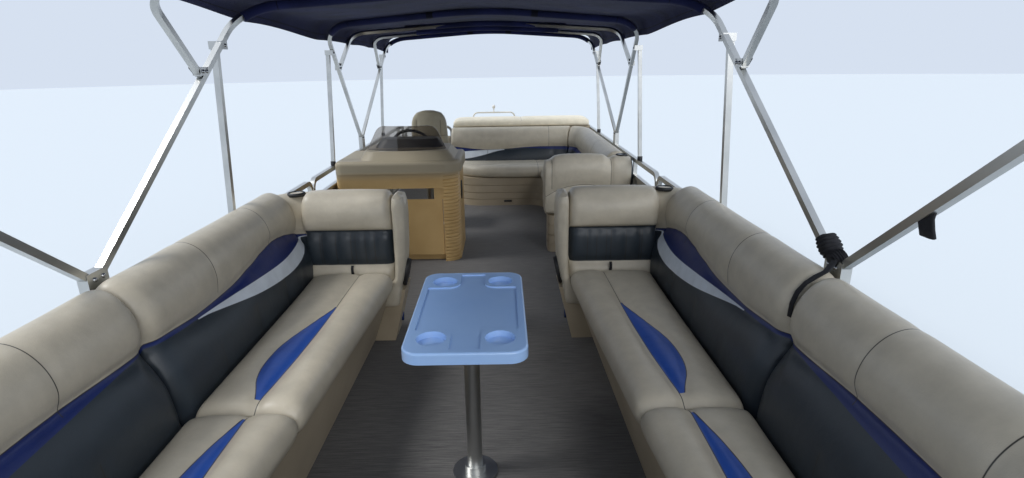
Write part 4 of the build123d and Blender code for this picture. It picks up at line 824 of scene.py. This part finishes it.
rows = loungeStations(loungeBack)
split = next(k for k, row in enumerate(rows) if row[0] > loungeBack["bend"][0] + 0.05)
for name, part in (("loungeBackStern", rows[:split]), ("loungeBackPort", rows[split:])):
    rollSeams = [x for x in (0.70, 1.55, 2.2) if part[0][0] < x < part[-1][0]]
    channels = [x for x in (-0.05, 0.35, 0.75, 1.4, 1.9, 2.4) if part[0][0] < x < part[-1][0]]
    seams = ([("along", loungeBack["rollLow"])] + acrossSeams(rollSeams, loungeBack["seam"], 1.1)
             + acrossSeams(channels, 0.34, 0.57))
    zones = [(vinyl["charcoal"], [(-0.60, 0.30), (3.5, 0.30)], loungeBack["rollLow"]),
             (vinyl["navy"], loungeBack["navyLow"], loungeBack["rollLow"])]
    if name == "loungeBackStern":
        zones.append((vinyl["white"], loungeBack["whiteLow"],
                      [row for row in loungeBack["navyLow"] if row[0] <= 0.2]))
    cloth = vinylCloth("vinyl" + name[0].upper() + name[1:], zones, seams)
    cushion(name, [loungeRing(loungeBack, *row) for row in part], 0.012, seams, below(0.40, 0.93), 0.010,
            cloth, "lounge_backs")
print("stage: lounge backs")

benchSeat = {
    "front": [(-0.485, 7.07), (-0.43, 6.99), (-0.35, 6.87), (-0.25, 6.775), (-0.12, 6.71), (0.06, 6.675),
              (0.30, 6.665), (0.53, 6.662), (0.975, 6.662)],
    "rear": 7.196, "around": 56, "step": 0.03, "start": -0.478, "end": 0.968,
}


def benchRing(part, x):
    f, r = softCurve(part["front"], x), part["rear"]
    section = ((r, 0.345), ((f + r) / 2, 0.331), (f + 0.04, 0.332), (f + 0.008, 0.352), (f - 0.004, 0.395),
               (f + 0.006, 0.434), (f + 0.04, 0.457), (f + (r - f) * 0.35, 0.462),
               (f + (r - f) * 0.7, 0.458), (r - 0.02, 0.445), (r, 0.40))
    return sectionRing([(x, y, z) for y, z in section], part["around"],
                       lambda p: (x, p.y - max(0.0, 0.452 - p.z) if p.z > 0.345 else 6.0))


rows = [benchRing(benchSeat, x) for x in stationsOf(benchSeat)]
seams = [("along", [(x, y + 0.12) for x, y in benchSeat["front"]]), ("across", 0.535, 6.0, 7.2)]
cushion("loungeSeatStern", rows, 0.008, seams, below(0.37), 0.010, vinylCloth("vinylBenchSeat", (), seams),
        "lounge_seats")

portSeat = {"around": 60, "outer": 0.968, "edge": [(5.0, 0.562), (6.8, 0.562)],
            "seam": [(5.0, 0.70), (6.8, 0.70)], "step": 0.03, "nose": 0.034, "noseReach": 0.075,
            "span": (5.212, 6.640)}
rows = [seatRing(portSeat, y, 0.70) for y in stations(*portSeat["span"], portSeat["step"])]
seams = [("along", portSeat["seam"])]
cushion("loungeSeatPort", rows, 0.006, seams, below(0.37), 0.010, vinylCloth("vinylPortSeat", (), seams),
        "lounge_seats")
loungeEnd = {
    "top": [(0.44, 0.775), (0.486, 0.790), (0.533, 0.793), (0.565, 0.826), (0.634, 0.838), (0.99, 0.834),
            (1.035, 0.795), (1.075, 0.822), (1.16, 0.828), (1.235, 0.800)],
    "arch": [(0.44, 0.455), (0.499, 0.499), (0.60, 0.559), (0.746, 0.594), (0.89, 0.597), (1.013, 0.558),
             (1.10, 0.520), (1.24, 0.46)],
    "front": 4.980, "rear": 5.196, "start": 0.490, "end": 1.222, "around": 60, "step": 0.016,
}


def loungeEndRing(part, x):
    top, f, r = softCurve(part["top"], x, 0.012), part["front"], part["rear"]
    section = ((r, 0.345), (r - 0.10, 0.338), (f + 0.008, 0.345), (f + 0.004, 0.42), (f + 0.004, 0.56),
               (f + 0.002, top - 0.12), (f + 0.014, top - 0.05), (f + 0.055, top - 0.006), (f + 0.11, top),
               (r - 0.04, top - 0.012), (r - 0.004, top - 0.06), (r, top - 0.15), (r, 0.5))
    return sectionRing([(x, y, z) for y, z in section], part["around"],
                       lambda p: (x, 1.7 - p.z if p.y > f + 0.12 and p.z > 0.4 else p.z))


rows = [loungeEndRing(loungeEnd, x) for x in stationsOf(loungeEnd)]
seams = [("along", loungeEnd["arch"]), ("across", 0.545, 0.56, 0.80), ("across", 1.045, 0.53, 0.80)]
dark = [(vinyl["charcoal"], [(1.214, 0.30), (1.30, 0.30)], [(1.214, 1.10), (1.30, 1.10)])]
cushion("loungeEndBack", rows, 0.012, seams, below(0.37, 0.95), 0.008,
        vinylCloth("vinylLoungeEnd", dark, seams), "lounge_end_back")
sunpad = {"start": -0.470, "end": 1.210, "front": 7.400, "rear": 7.868, "low": 0.838, "top": 0.930,
          "around": 56, "step": 0.035}


def sunpadRing(part, x):
    f, r, low, top = part["front"], part["rear"], part["low"], part["top"]
    near = 0.018 * (1 - min(1.0, min(x - part["start"], part["end"] - x) / 0.06)) ** 2
    section = ((r - 0.02, low), ((f + r) / 2, low), (f + 0.02, low), (f, low + 0.03),
               (f + 0.004, top - 0.04), (f + 0.04, top - 0.010 - near), ((f + r) / 2, top - near),
               (r - 0.04, top - 0.010 - near), (r - 0.003, top - 0.04), (r, low + 0.03))
    return sectionRing([(x, y, z) for y, z in section], part["around"],
                       lambda p: (x, p.y if p.z > 0.895 else 7.0 - (0.95 - p.z)))


rows = [sunpadRing(sunpad, x) for x in stationsOf(sunpad)]
seams = [("along", [(-0.6, y), (1.4, y)]) for y in (7.52, 7.64, 7.76)] + [("across", 0.37, 7.4, 7.9)]
cushion("sunDeckPad", rows, 0.012, seams, below(0.86), 0.010,
        vinylCloth("vinylSunpad", (), seams, vinyl["cream"]), "sunpad")
print("stage: lounge seats and sun pad")


# ---- helm chair

chair = {"x": -0.610, "y": 5.935, "seatLow": 0.492, "seatTop": 0.600, "backLow": 0.500, "backTop": 1.150,
         "backFace": 6.072, "backRear": 6.168, "around": 48, "backHalf": 0.205, "taper": 0.035,
         "shoulder": 0.82, "seatHalf": 0.222, "backSteps": 24, "seatSteps": 20}


def chairBackRing(part, share):
    z = part["backLow"] + (part["backTop"] - 0.03 - part["backLow"]) * share
    half = part["backHalf"] - part["taper"] * share
    if share > part["shoulder"]:
        half *= math.sqrt(max(0.0, 1 - ((share - part["shoulder"]) / 0.205) ** 2)) * 0.5 + 0.5
    x, f, r = part["x"], part["backFace"] - 0.012 * math.sin(share * math.pi), part["backRear"]
    section = ((0.96, r - 0.012), (0.5, r), (-0.5, r), (-0.96, r - 0.012), (-1, (f + r) / 2),
               (-0.95, f + 0.010), (-0.6, f), (0, f - 0.004), (0.6, f), (0.95, f + 0.010), (1, (f + r) / 2))
    return sectionRing([(x + half * k, y, z) for k, y in section], part["around"],
                       lambda p: (p.x if p.y < (f + r) / 2 else -2.0 + p.x, z))


def chairSeatRing(part, share):
    x = part["x"] + part["seatHalf"] * (2 * share - 1)
    near = 0.03 * (1 - min(1.0, min(share, 1 - share) * 8)) ** 2
    f, r = part["y"] - 0.236 + near, part["y"] + 0.126
    low, top = part["seatLow"], part["seatTop"] - near * 0.5
    section = ((r, low + 0.004), ((f + r) / 2, low), (f + 0.03, low + 0.002), (f, low + 0.04),
               (f + 0.016, top - 0.024), (f + 0.07, top), ((f + r) / 2, top - 0.008), (r - 0.06, top - 0.006),
               (r - 0.004, top - 0.03), (r, low + 0.05))
    return sectionRing([(x, y, z) for y, z in section], part["around"],
                       lambda p: (x, p.y if p.z > low + 0.06 else 5.0))


x = chair["x"]
seams = acrossSeams((x - 0.12, x + 0.12), 0.50, 1.05)
seams += [("along", [(x - 0.2, z), (x + 0.2, z)]) for z in (0.90, 0.70)]
shares = stations(0.0, 1.0, 1 / chair["backSteps"])
cushion("chairBackPad", [chairBackRing(chair, share) for share in shares], 0.028, seams,
        lambda co, mark: co.z < deckLevel + 0.53 or mark[0] < -1.5, 0.012,
        vinylCloth("vinylChairBack", (), seams, vinyl["stone"]), "chair_back", "helm_chair")
seams = acrossSeams((x - 0.13, x + 0.13), 5.72, 6.2)
shares = stations(0.0, 1.0, 1 / chair["seatSteps"])
cushion("chairSeatPad", [chairSeatRing(chair, share) for share in shares], 0.012, seams,
        below(chair["seatLow"] + 0.03), 0.010,
        vinylCloth("vinylChairSeat", (), seams, vinyl["stone"]), "chair_seat", "helm_chair")
print("stage: helm chair")


# ---- canopy

canopy = {
    "crest": 1.9715, "drop": 0.085, "side": 1.166, "edgeX": 1.186, "low": 1.70, "corner": 0.12,
    # station of each bow and height of the cloth's edge there
    "bows": ((0.735, 1.800), (1.744, 1.860), (2.384, 1.862), (3.386, 1.806), (4.558, 1.765), (5.56, 1.760),
             (6.20, 1.755), (7.212, 1.722)),
    "sag": 0.014, "scallop": 0.006, "along": 120, "across": 60, "flat": (2.45, 6.48),
    "crownReach": 0.18, "crownDrop": 0.0066, "hangFrom": 0.88, "pull": 0.008, "thickness": 0.0016,
    "thread": 0.0022, "hem": 0.968, "besideBow": 0.034, "yarns": 330.0,
}


def archPoint(part, run):  # point of the arch at a distance along it from the crown
    top = math.hypot(part["side"], part["drop"])
    fall = part["crest"] - part["drop"] - part["low"]
    sign = 1 if run >= 0 else -1
    run = abs(run)
    cut = part["corner"] * 0.7
    slope = (part["edgeX"] - part["side"]) / fall
    if run < top - cut:
        x = run * part["side"] / top
        ease = max(0.0, 1 - x / part["crownReach"])
        return sign * x, part["crest"] - part["drop"] * x / part["side"] - part["crownDrop"] * ease * ease
    if run > top + cut:
        return sign * (part["side"] + slope * (run - top)), part["crest"] - part["drop"] - (run - top)
    t = (run - (top - cut)) / (2 * cut)
    a = Vector(((top - cut) * part["side"] / top, part["crest"] - part["drop"] * (top - cut) / top))
    b = Vector((part["side"], part["crest"] - part["drop"]))
    c = Vector((part["side"] + slope * cut, part["crest"] - part["drop"] - cut))
    p = a.lerp(b, t).lerp(b.lerp(c, t), t)
    return sign * p.x, p.y


def canopyRow(part, y):  # the cloth's points across the boat at a station
    low, high = next((a, b) for a, b in zip(part["bows"], part["bows"][1:]) if y <= b[0] + 1e-6)
    t = (y - low[0]) / (high[0] - low[0])
    slack = 4 * t * (1 - t)
    edge = low[1] + (high[1] - low[1]) * (3 * t * t - 2 * t ** 3) + part["scallop"] * slack
    reach = math.hypot(part["side"], part["drop"]) + part["crest"] - part["drop"] - edge
    row = []
    for j in range(part["across"] + 1):
        share = -1 + 2 * j / part["across"]
        x, z = archPoint(part, share * reach)
        hang = max(0.0, (abs(share) - part["hangFrom"]) / (1 - part["hangFrom"]))
        pull = part["pull"] * slack * hang
        row.append((place(x - math.copysign(pull, x), y, z - part["sag"] * slack * (1 - hang)), share))
    return row


mesh = bmesh.new()
start, end = canopy["bows"][0][0], canopy["bows"][-1][0]
line, uvOf = None, {}
for i in range(canopy["along"] + 1):
    y = start + (end - start) * i / canopy["along"]
    row = canopyRow(canopy, y)
    points = [p for p, _ in row]
    line = grow(mesh, line, points, closed=False) if line else firstRing(mesh, points, closed=False)
    uvOf.update((v, (share, y)) for v, (_, share) in zip(line, row))
drawPattern(mesh, uvOf)
if sum(f.normal.z for f in mesh.faces) < 0:
    bmesh.ops.reverse_faces(mesh, faces=mesh.faces)

# acrylic canvas: solution-dyed navy, plain weave about 1 mm, chalky sheen, stitched over the bows
canvas, tree, shader = newFinish("navyCanvas", Roughness=0.9, Specular_IOR_Level=0.25, Sheen_Weight=0.06,
                                 Sheen_Roughness=0.5)
dyed = tint(tree, shader, "#14193a", "#1e2450", 0.22, detail=6.0)
u, v, _ = axes(tree, addNode(tree, "ShaderNodeUVMap", uv_map="pattern").outputs[0])
sewn = calc(tree, "COMPARE", calc(tree, "ABSOLUTE", u), canopy["hem"], canopy["thread"])
for station, _ in canopy["bows"]:
    for gap in (-canopy["besideBow"], canopy["besideBow"]):
        row = calc(tree, "COMPARE", v, station + gap, canopy["thread"])
        sewn = calc(tree, "MAXIMUM", sewn, row)
tree.links.new(blend(tree, sewn, dyed, paint("#0a0c1c")), shader.inputs["Base Color"])
warp, weft = (addNode(tree, "ShaderNodeTexWave", {"Vector": spotsOn(tree), "Scale": canopy["yarns"],
                                                  "Distortion": 0.4},
                      bands_direction=way).outputs["Fac"] for way in "YX")
fine = bump(tree, calc(tree, "ADD", warp, weft), 0.0005, 0.4)
soft = bump(tree, cloud(tree, 5.0, 3.0), 0.02, 0.4, Normal=fine)
tree.links.new(soft, shader.inputs["Normal"])
canopyTop = asPiece("canopyTop", mesh, canvas)
thick = canopyTop.modifiers.new("thickness", "SOLIDIFY")
thick.thickness = canopy["thickness"]
thick.offset = 0
hung(canopyTop, "boat")
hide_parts("canopy")
print("stage: canopy")


# ---- cloth sleeves over the bows, hung from the top

bowShape = {"halfLow": 1.250, "halfHigh": 1.150, "pivot": 0.915, "crown": 1.950, "reach": 1.300,
            "shoulder": 0.085, "crownRound": 2.5, "corner": 0.240, "armCorner": 0.140, "armDrop": 0.015,
            "armReach": 0.320, "hinge": 0.62, "offset": 0.034, "foot": 0.021, "stations": (2.0625, 5.8785),
            "sleeve": 0.0235, "half": 0.70, "sleeved": 1.81}


def filleted(points, radii, count=10):  # a line through points with rounded corners
    out = [Vector(points[0])]
    for a, b, c, radius in zip(points, points[1:], points[2:], radii):
        a, b, c = Vector(a), Vector(b), Vector(c)
        back, onward = (a - b).normalized(), (c - b).normalized()
        half = back.angle(onward) / 2
        centre = b + (back + onward).normalized() * (radius / math.sin(half))
        reach = radius / math.tan(half)
        start, stop = (b + back * reach - centre).normalized(), (b + onward * reach - centre).normalized()
        out += [centre + start.slerp(stop, k / count) * radius for k in range(count + 1)]
    out.append(Vector(points[-1]))
    return out


def bowPath(base, lean, rise, low, high, corner):  # a bow's centre line from its base (y, z), leaning
    length = math.hypot(lean, rise)
    shoulder = length * (1 - bowShape["shoulder"] / rise)
    flat = filleted([(-low, 0, 0), (-high, shoulder, 0), (0, length, 0), (high, shoulder, 0), (low, 0, 0)],
                    [corner, bowShape["crownRound"], corner])
    return [Vector((p.x, base[0] + p.y * lean / length, base[1] + p.y * rise / length)) for p in flat]


def bowSpots(station, facing):  # a bow's foot, and its hinge's station, height and half width
    shape = bowShape
    foot = station + facing * shape["foot"]
    height = shape["pivot"] + shape["hinge"] * (shape["crown"] - shape["pivot"])
    half = shape["halfLow"] + (shape["halfHigh"] - shape["halfLow"]) * shape["hinge"]
    return foot, foot + facing * shape["hinge"] * shape["reach"], height, half


def sleeve(name, path, normal, radius):  # a cloth tube round a stretch of a bow
    dense = []
    for a, b in zip(path, path[1:]):
        count = max(1, round((b - a).length / 0.04))
        dense += [a.lerp(b, k / count) for k in range(count)]
    dense.append(path[-1])
    rows, sides = [], 14
    for index, spot in enumerate(dense):
        ahead = (dense[min(index + 1, len(dense) - 1)] - dense[max(index - 1, 0)]).normalized()
        aside = ahead.cross(normal).normalized()
        turns = [2 * math.pi * k / sides for k in range(sides)]
        ring = [place(*(spot + (normal * math.cos(turn) + aside * math.sin(turn)) * radius
                        - Vector((0, 0, 0.003)))) for turn in turns]
        rows.append((ring, [(spot.x, spot.y)] * sides))
    return sweepShell(name, rows, -0.004)


shape = bowShape
for stationName, station in zip(("front", "rear"), shape["stations"]):
    for facing, facingName in ((-1, "Fore"), (1, "Aft")):
        foot, hingeY, hingeZ, hingeHalf = bowSpots(station, facing)
        armY = hingeY - facing * shape["offset"]
        bow = bowPath((foot, shape["pivot"]), facing * shape["reach"], shape["crown"] - shape["pivot"],
                      shape["halfLow"], shape["halfHigh"], shape["corner"])
        arm = bowPath((armY, hingeZ), station + facing * shape["armReach"] - armY,
                      shape["crown"] - shape["armDrop"] - hingeZ, hingeHalf, shape["halfHigh"],
                      shape["armCorner"])
        arm = [p for p in arm if abs(p.x) < shape["half"]]
        arm = [Vector((-shape["half"], arm[0].y, arm[0].z - 0.02))] + arm + [
            Vector((shape["half"], arm[-1].y, arm[-1].z - 0.02))]
        for kind, part in (("Bow", [p for p in bow if p.z > shape["sleeved"]]), ("Arm", arm)):
            line = part[len(part) // 2] - part[0]
            normal = line.cross(Vector((1, 0, 0))).normalized()
            made = sleeve(stationName + facingName + kind + "Sleeve", part, normal, shape["sleeve"])
            made.data.materials.append(canvas)
            hung(made, "boat")
print("stage: canopy sleeves")


# ---- small fittings, one mesh for each kind

def addTo(target, part):  # joins a mesh to another, facing outwards
    bmesh.ops.recalc_face_normals(part, faces=part.faces)
    held = bpy.data.meshes.new("held")
    part.to_mesh(held)
    part.free()
    target.from_mesh(held)
    bpy.data.meshes.remove(held)


def spun(target, profile, at, facing, squash=1.0):  # adds a turned part of (radius, height) rows
    part = bmesh.new()
    line = [part.verts.new((radius, 0, height)) for radius, height in profile]
    edges = [part.edges.new(pair) for pair in zip(line, line[1:])]
    bmesh.ops.spin(part, geom=line + edges, cent=(0, 0, 0), axis=(0, 0, 1), angle=2 * math.pi, steps=28)
    bmesh.ops.remove_doubles(part, verts=part.verts, dist=1e-5)
    bmesh.ops.scale(part, verts=part.verts, vec=(1, squash, 1))
    turn = Vector((0, 0, 1)).rotation_difference(Vector(facing)).to_matrix().to_4x4()
    bmesh.ops.transform(part, matrix=Matrix.Translation(place(*at)) @ turn, verts=part.verts)
    addTo(target, part)


def strand(target, path, across, wide, thick, power=0.45):  # adds a strap or bar along a path
    part = bmesh.new()
    across = Vector(across)
    path = [Vector(p) for p in path]
    rings, sides = [], 12
    for index, spot in enumerate(path):
        ahead = (path[min(index + 1, len(path) - 1)] - path[max(index - 1, 0)]).normalized()
        broad = (across - ahead * across.dot(ahead)).normalized()
        deep = ahead.cross(broad)
        spots = []
        for k in range(sides):
            turn = 2 * math.pi * (k + 0.5) / sides
            c, s = math.cos(turn), math.sin(turn)
            spots.append(place(*(spot + broad * math.copysign(abs(c) ** power, c) * wide
                                 + deep * math.copysign(abs(s) ** power, s) * thick)))
        rings.append(grow(part, rings[-1], spots) if rings else firstRing(part, spots))
    for ring in (rings[0], rings[-1]):
        capOver(part, ring)
    addTo(target, part)


def fitted(name, mesh, finish, body="boat"):  # the mesh as one piece on its body
    for face in mesh.faces:
        face.smooth = len(face.verts) < 8
    hung(asPiece(name, mesh, finish), body)


def disc(radius, height, edge):  # profile of a low domed disc, its back sunk behind its seat
    return ((0, -0.012), (radius * 0.97, -0.012), (radius, -0.004), (radius, height - edge),
            (radius - edge * 0.4, height - edge * 0.25), (radius - edge * 1.4, height), (0, height * 1.02))


def onSurface(piece, x, y, z):  # nearest point of a piece to a spot, and the way it faces there
    _, spot, normal, _ = piece.closest_point_on_mesh(place(x, y, z))
    return (spot.x, spot.y - bowEdge, spot.z - deckLevel), normal


fitting = {
    "speaker": (0.40, 3.43, 0.40), "speakerSize": (0.085, 0.7), "courtesy": (0.45, 3.50, 0.08),
    "consoleOval": (-0.15, 5.09, 0.548), "latch": (-0.691, 4.72, 0.126), "vent": (0.186, 6.5, 0.052),
    "cup": (1.045, 3.43, 1.0), "endCup": (1.150, 5.095, 0.95),
    "stayRun": 1.009, "stayFoot": (1.25, 0.811), "stayRise": 0.76 * 1.035 - 0.018,
    "halfTube": 0.0175, "clipRise": 0.013, "stayInset": 0.076,
    "tab": (0.741, 3.334, 0.487), "rail": (-0.266, 0.318, 7.9075), "railRound": 0.06,
    "railHeights": (0.808, 0.972), "wrap": (1.246, 2.0625, 0.968), "strapEnd": (1.2195, 1.680, 1.196),
}

blackParts, lensParts, cupParts, ringParts, latchParts, boltParts, lashParts, railParts, tabParts = (
    bmesh.new() for _ in range(9))
x, y, z = fitting["speaker"]
high, ratio = fitting["speakerSize"]
for sign, slab in ((1, bolster), (-1, bolsterTwin)):  # speakers and courtesy lights on the aisle side
    spot, normal = onSurface(slab, sign * x, y, z)
    spun(blackParts, disc(high, 0.014, 0.008), spot, (normal.x, 0, normal.z), ratio)
    spun(blackParts, ((0, 0.008), (high * 0.93, 0.008), (high * 0.93, 0.0165), (high * 0.97, 0.0165),
                      (high * 0.99, 0.006), (0, 0.006)), spot, (normal.x, 0, normal.z), ratio)
    x2, y2, z2 = fitting["courtesy"]
    spot, _ = onSurface(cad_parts["settee_bases"], sign * x2, y2, z2)
    spun(lensParts, disc(0.030, 0.010, 0.006), spot, (-sign, 0, 0), 0.72)
spot, _ = onSurface(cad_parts["console_shell"], *fitting["consoleOval"])
spun(blackParts, disc(0.083, 0.008, 0.005), spot, (1, 0, 0), 0.6)
spot, _ = onSurface(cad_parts["console_door"], *fitting["latch"])
spun(latchParts, disc(0.012, 0.006, 0.003), spot, (0, -1, 0))
spot, _ = onSurface(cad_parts["lounge_base"], *fitting["vent"])
strand(blackParts, [(spot[0] + run, spot[1], spot[2]) for run in (-0.045, 0.0, 0.045)], (0, 0, 1), 0.012,
       0.005)
x, y, z = fitting["cup"]
cornerBack = bpy.data.objects["setteeBackPortAft"]
cornerTwin = bpy.data.objects["setteeBackStarboardAft"]
cups = [onSurface(cornerBack, x, y, z)[0], onSurface(cornerTwin, -x, y, z)[0],
        onSurface(bpy.data.objects["loungeEndBack"], *fitting["endCup"])[0]]
for at in cups:  # drop-in cup holders: black flange, steel dish
    spun(ringParts, ((0.036, -0.006), (0.037, 0.003), (0.041, 0.008), (0.047, 0.007), (0.051, 0.0),
                     (0.051, -0.012), (0.038, -0.014), (0.036, -0.006)), at, (0, 0, 1))
    spun(cupParts, ((0, -0.014), (0.034, -0.014), (0.0375, -0.010), (0.0375, 0.004), (0.035, 0.003),
                    (0.031, -0.001), (0, -0.003)), at, (0, 0, 1))

head = ((0, -0.004), (0.0085, -0.004), (0.0085, 0.002), (0.0070, 0.0050), (0.0035, 0.0066), (0, 0.0068))
for station in bowShape["stations"]:
    for facing in (-1, 1):
        foot, hingeY, hingeZ, half = bowSpots(station, facing)
        armY = hingeY - facing * bowShape["offset"]
        stayY = station + facing * fitting["stayRun"]
        armTop = (station + facing * bowShape["armReach"], bowShape["crown"] - bowShape["armDrop"])
        for sign in (1, -1):
            lowHalf = bowShape["halfLow"]
            clipZ = hingeZ + fitting["clipRise"]
            stayZ = bowShape["pivot"] + fitting["stayRise"]
            for wide, y, z in ((half, hingeY, clipZ), (half, armY, clipZ), (lowHalf, foot, bowShape["pivot"]),
                               (lowHalf - fitting["stayInset"], stayY, stayZ)):
                spun(boltParts, head, (sign * (wide - fitting["halfTube"]), y, z), (-sign, 0, 0))
            # black end of the arm in its jaw, and the cap round the stay's foot
            armFoot = Vector((sign * half, armY, hingeZ))
            toward = Vector((0, armTop[0] - armY, armTop[1] - hingeZ)).normalized()
            strand(blackParts, [armFoot + toward * s for s in (0.016, 0.03, 0.056, 0.060)], (1, 0, 0),
                   0.0155, 0.0155, 0.3)
            spun(blackParts, ((0, -0.001), (0.0200, -0.001), (0.0210, 0.003), (0.0205, 0.030),
                              (0.0190, 0.036), (0, 0.036)),
                 (sign * fitting["stayFoot"][0], stayY, fitting["stayFoot"][1]), (0, 0, 1))

# webbing wound round the port pivot, its tail laid over the gap between the rolls, and a strap's end
x, y, z = fitting["wrap"]
rows = []
for index in range(25):
    share = index / 24
    swell = 0.031 + 0.006 * math.sin(share * math.pi) + 0.0035 * math.cos(share * math.pi * 10)
    rows.append((swell, -0.034 + 0.068 * share))
spun(lashParts, [(0.0, -0.034)] + rows + [(0.0, 0.034)], (x, y + 0.055, z), (-0.07, 0.62, 0.62), 0.9)
spun(lashParts, [(0.0, -0.022)] + [(r * 0.8, h * 0.65) for r, h in rows] + [(0.0, 0.022)], (x, y, z - 0.028),
     (0.9, 0.1, 0.3), 1.0)
strand(lashParts, [(1.236, 2.060, 0.945), (1.208, 2.02, 0.938), (1.170, 1.990, 0.923),
                   (1.135, 1.982, 0.908), (1.105, 1.981, 0.888), (1.082, 1.981, 0.855),
                   (1.070, 1.981, 0.815), (1.068, 1.981, 0.770)], (0, 1, 0), 0.011, 0.0035, 0.6)
x, y, z = fitting["strapEnd"]
strand(lashParts, [(x, y, z + 0.010), (x - 0.005, y - 0.006, z - 0.014), (x - 0.002, y - 0.012, z - 0.038),
                   (x + 0.004, y - 0.012, z - 0.058)], (0, 1, 0), 0.027, 0.006, 0.5)
for v in lashParts.verts:  # the windings are uneven
    v.co += noise.noise_vector(v.co * 60) * 0.0022

x0, x1, y = fitting["rail"]
low, high = fitting["railHeights"]
bar = filleted([(x0, y, low), (x0 + 0.03, y, high), (x1 - 0.03, y, high), (x1, y, low)],
               [fitting["railRound"]] * 2, 8)
strand(railParts, bar, (0, 1, 0), 0.010, 0.010, 1.0)
middle = (x0 + x1) / 2
spun(railParts, ((0, 0.0), (0.011, 0.0), (0.009, 0.01), (0.006, 0.018), (0.006, 0.05), (0.016, 0.054),
                 (0.021, 0.066), (0.020, 0.082), (0.012, 0.094), (0, 0.097)), (middle, y, high), (0, 0, 1))

x, y, z = fitting["tab"]
for sign in (1, -1):  # pull tabs at the foot of the end backs
    strand(tabParts, [(sign * x, y + dy, z - dz) for dy, dz in ((0.004, 0.0), (-0.008, 0.012),
                                                                (-0.010, 0.034), (-0.002, 0.054))],
           (1, 0, 0), 0.008, 0.002, 0.5)

# tinted lens: deep blue, wet-looking; nylon webbing: dull black with a tight weave
lensFinish = simpleFinish("blueLens", "#142a5c", "#1a3269", 0.02, 0.004, 0.0001, Roughness=0.15,
                          Coat_Weight=0.5)
webFinish = simpleFinish("blackWebbing", "#17171a", "#212126", 0.02, 0.0016, 0.0008, Roughness=0.85)
whiteFinish = simpleFinish("whitePowderCoat", "#e6e2d8", "#dcd8cd", 0.2, 0.003, 0.0001, Roughness=0.4)
nylon, steel = finishes["blackPlastic"], finishes["propSteel"]
fitted("blackFittings", blackParts, nylon)
fitted("courtesyLenses", lensParts, lensFinish)
fitted("cupDishes", cupParts, steel)
fitted("cupFlanges", ringParts, nylon)
fitted("pivotBolts", boltParts, steel)
fitted("doorLatch", latchParts, nylon, "console_door")
fitted("lashings", lashParts, webFinish)
fitted("sternRail", railParts, whiteFinish)
fitted("pullTabs", tabParts, webFinish)
print("stage: small fittings")
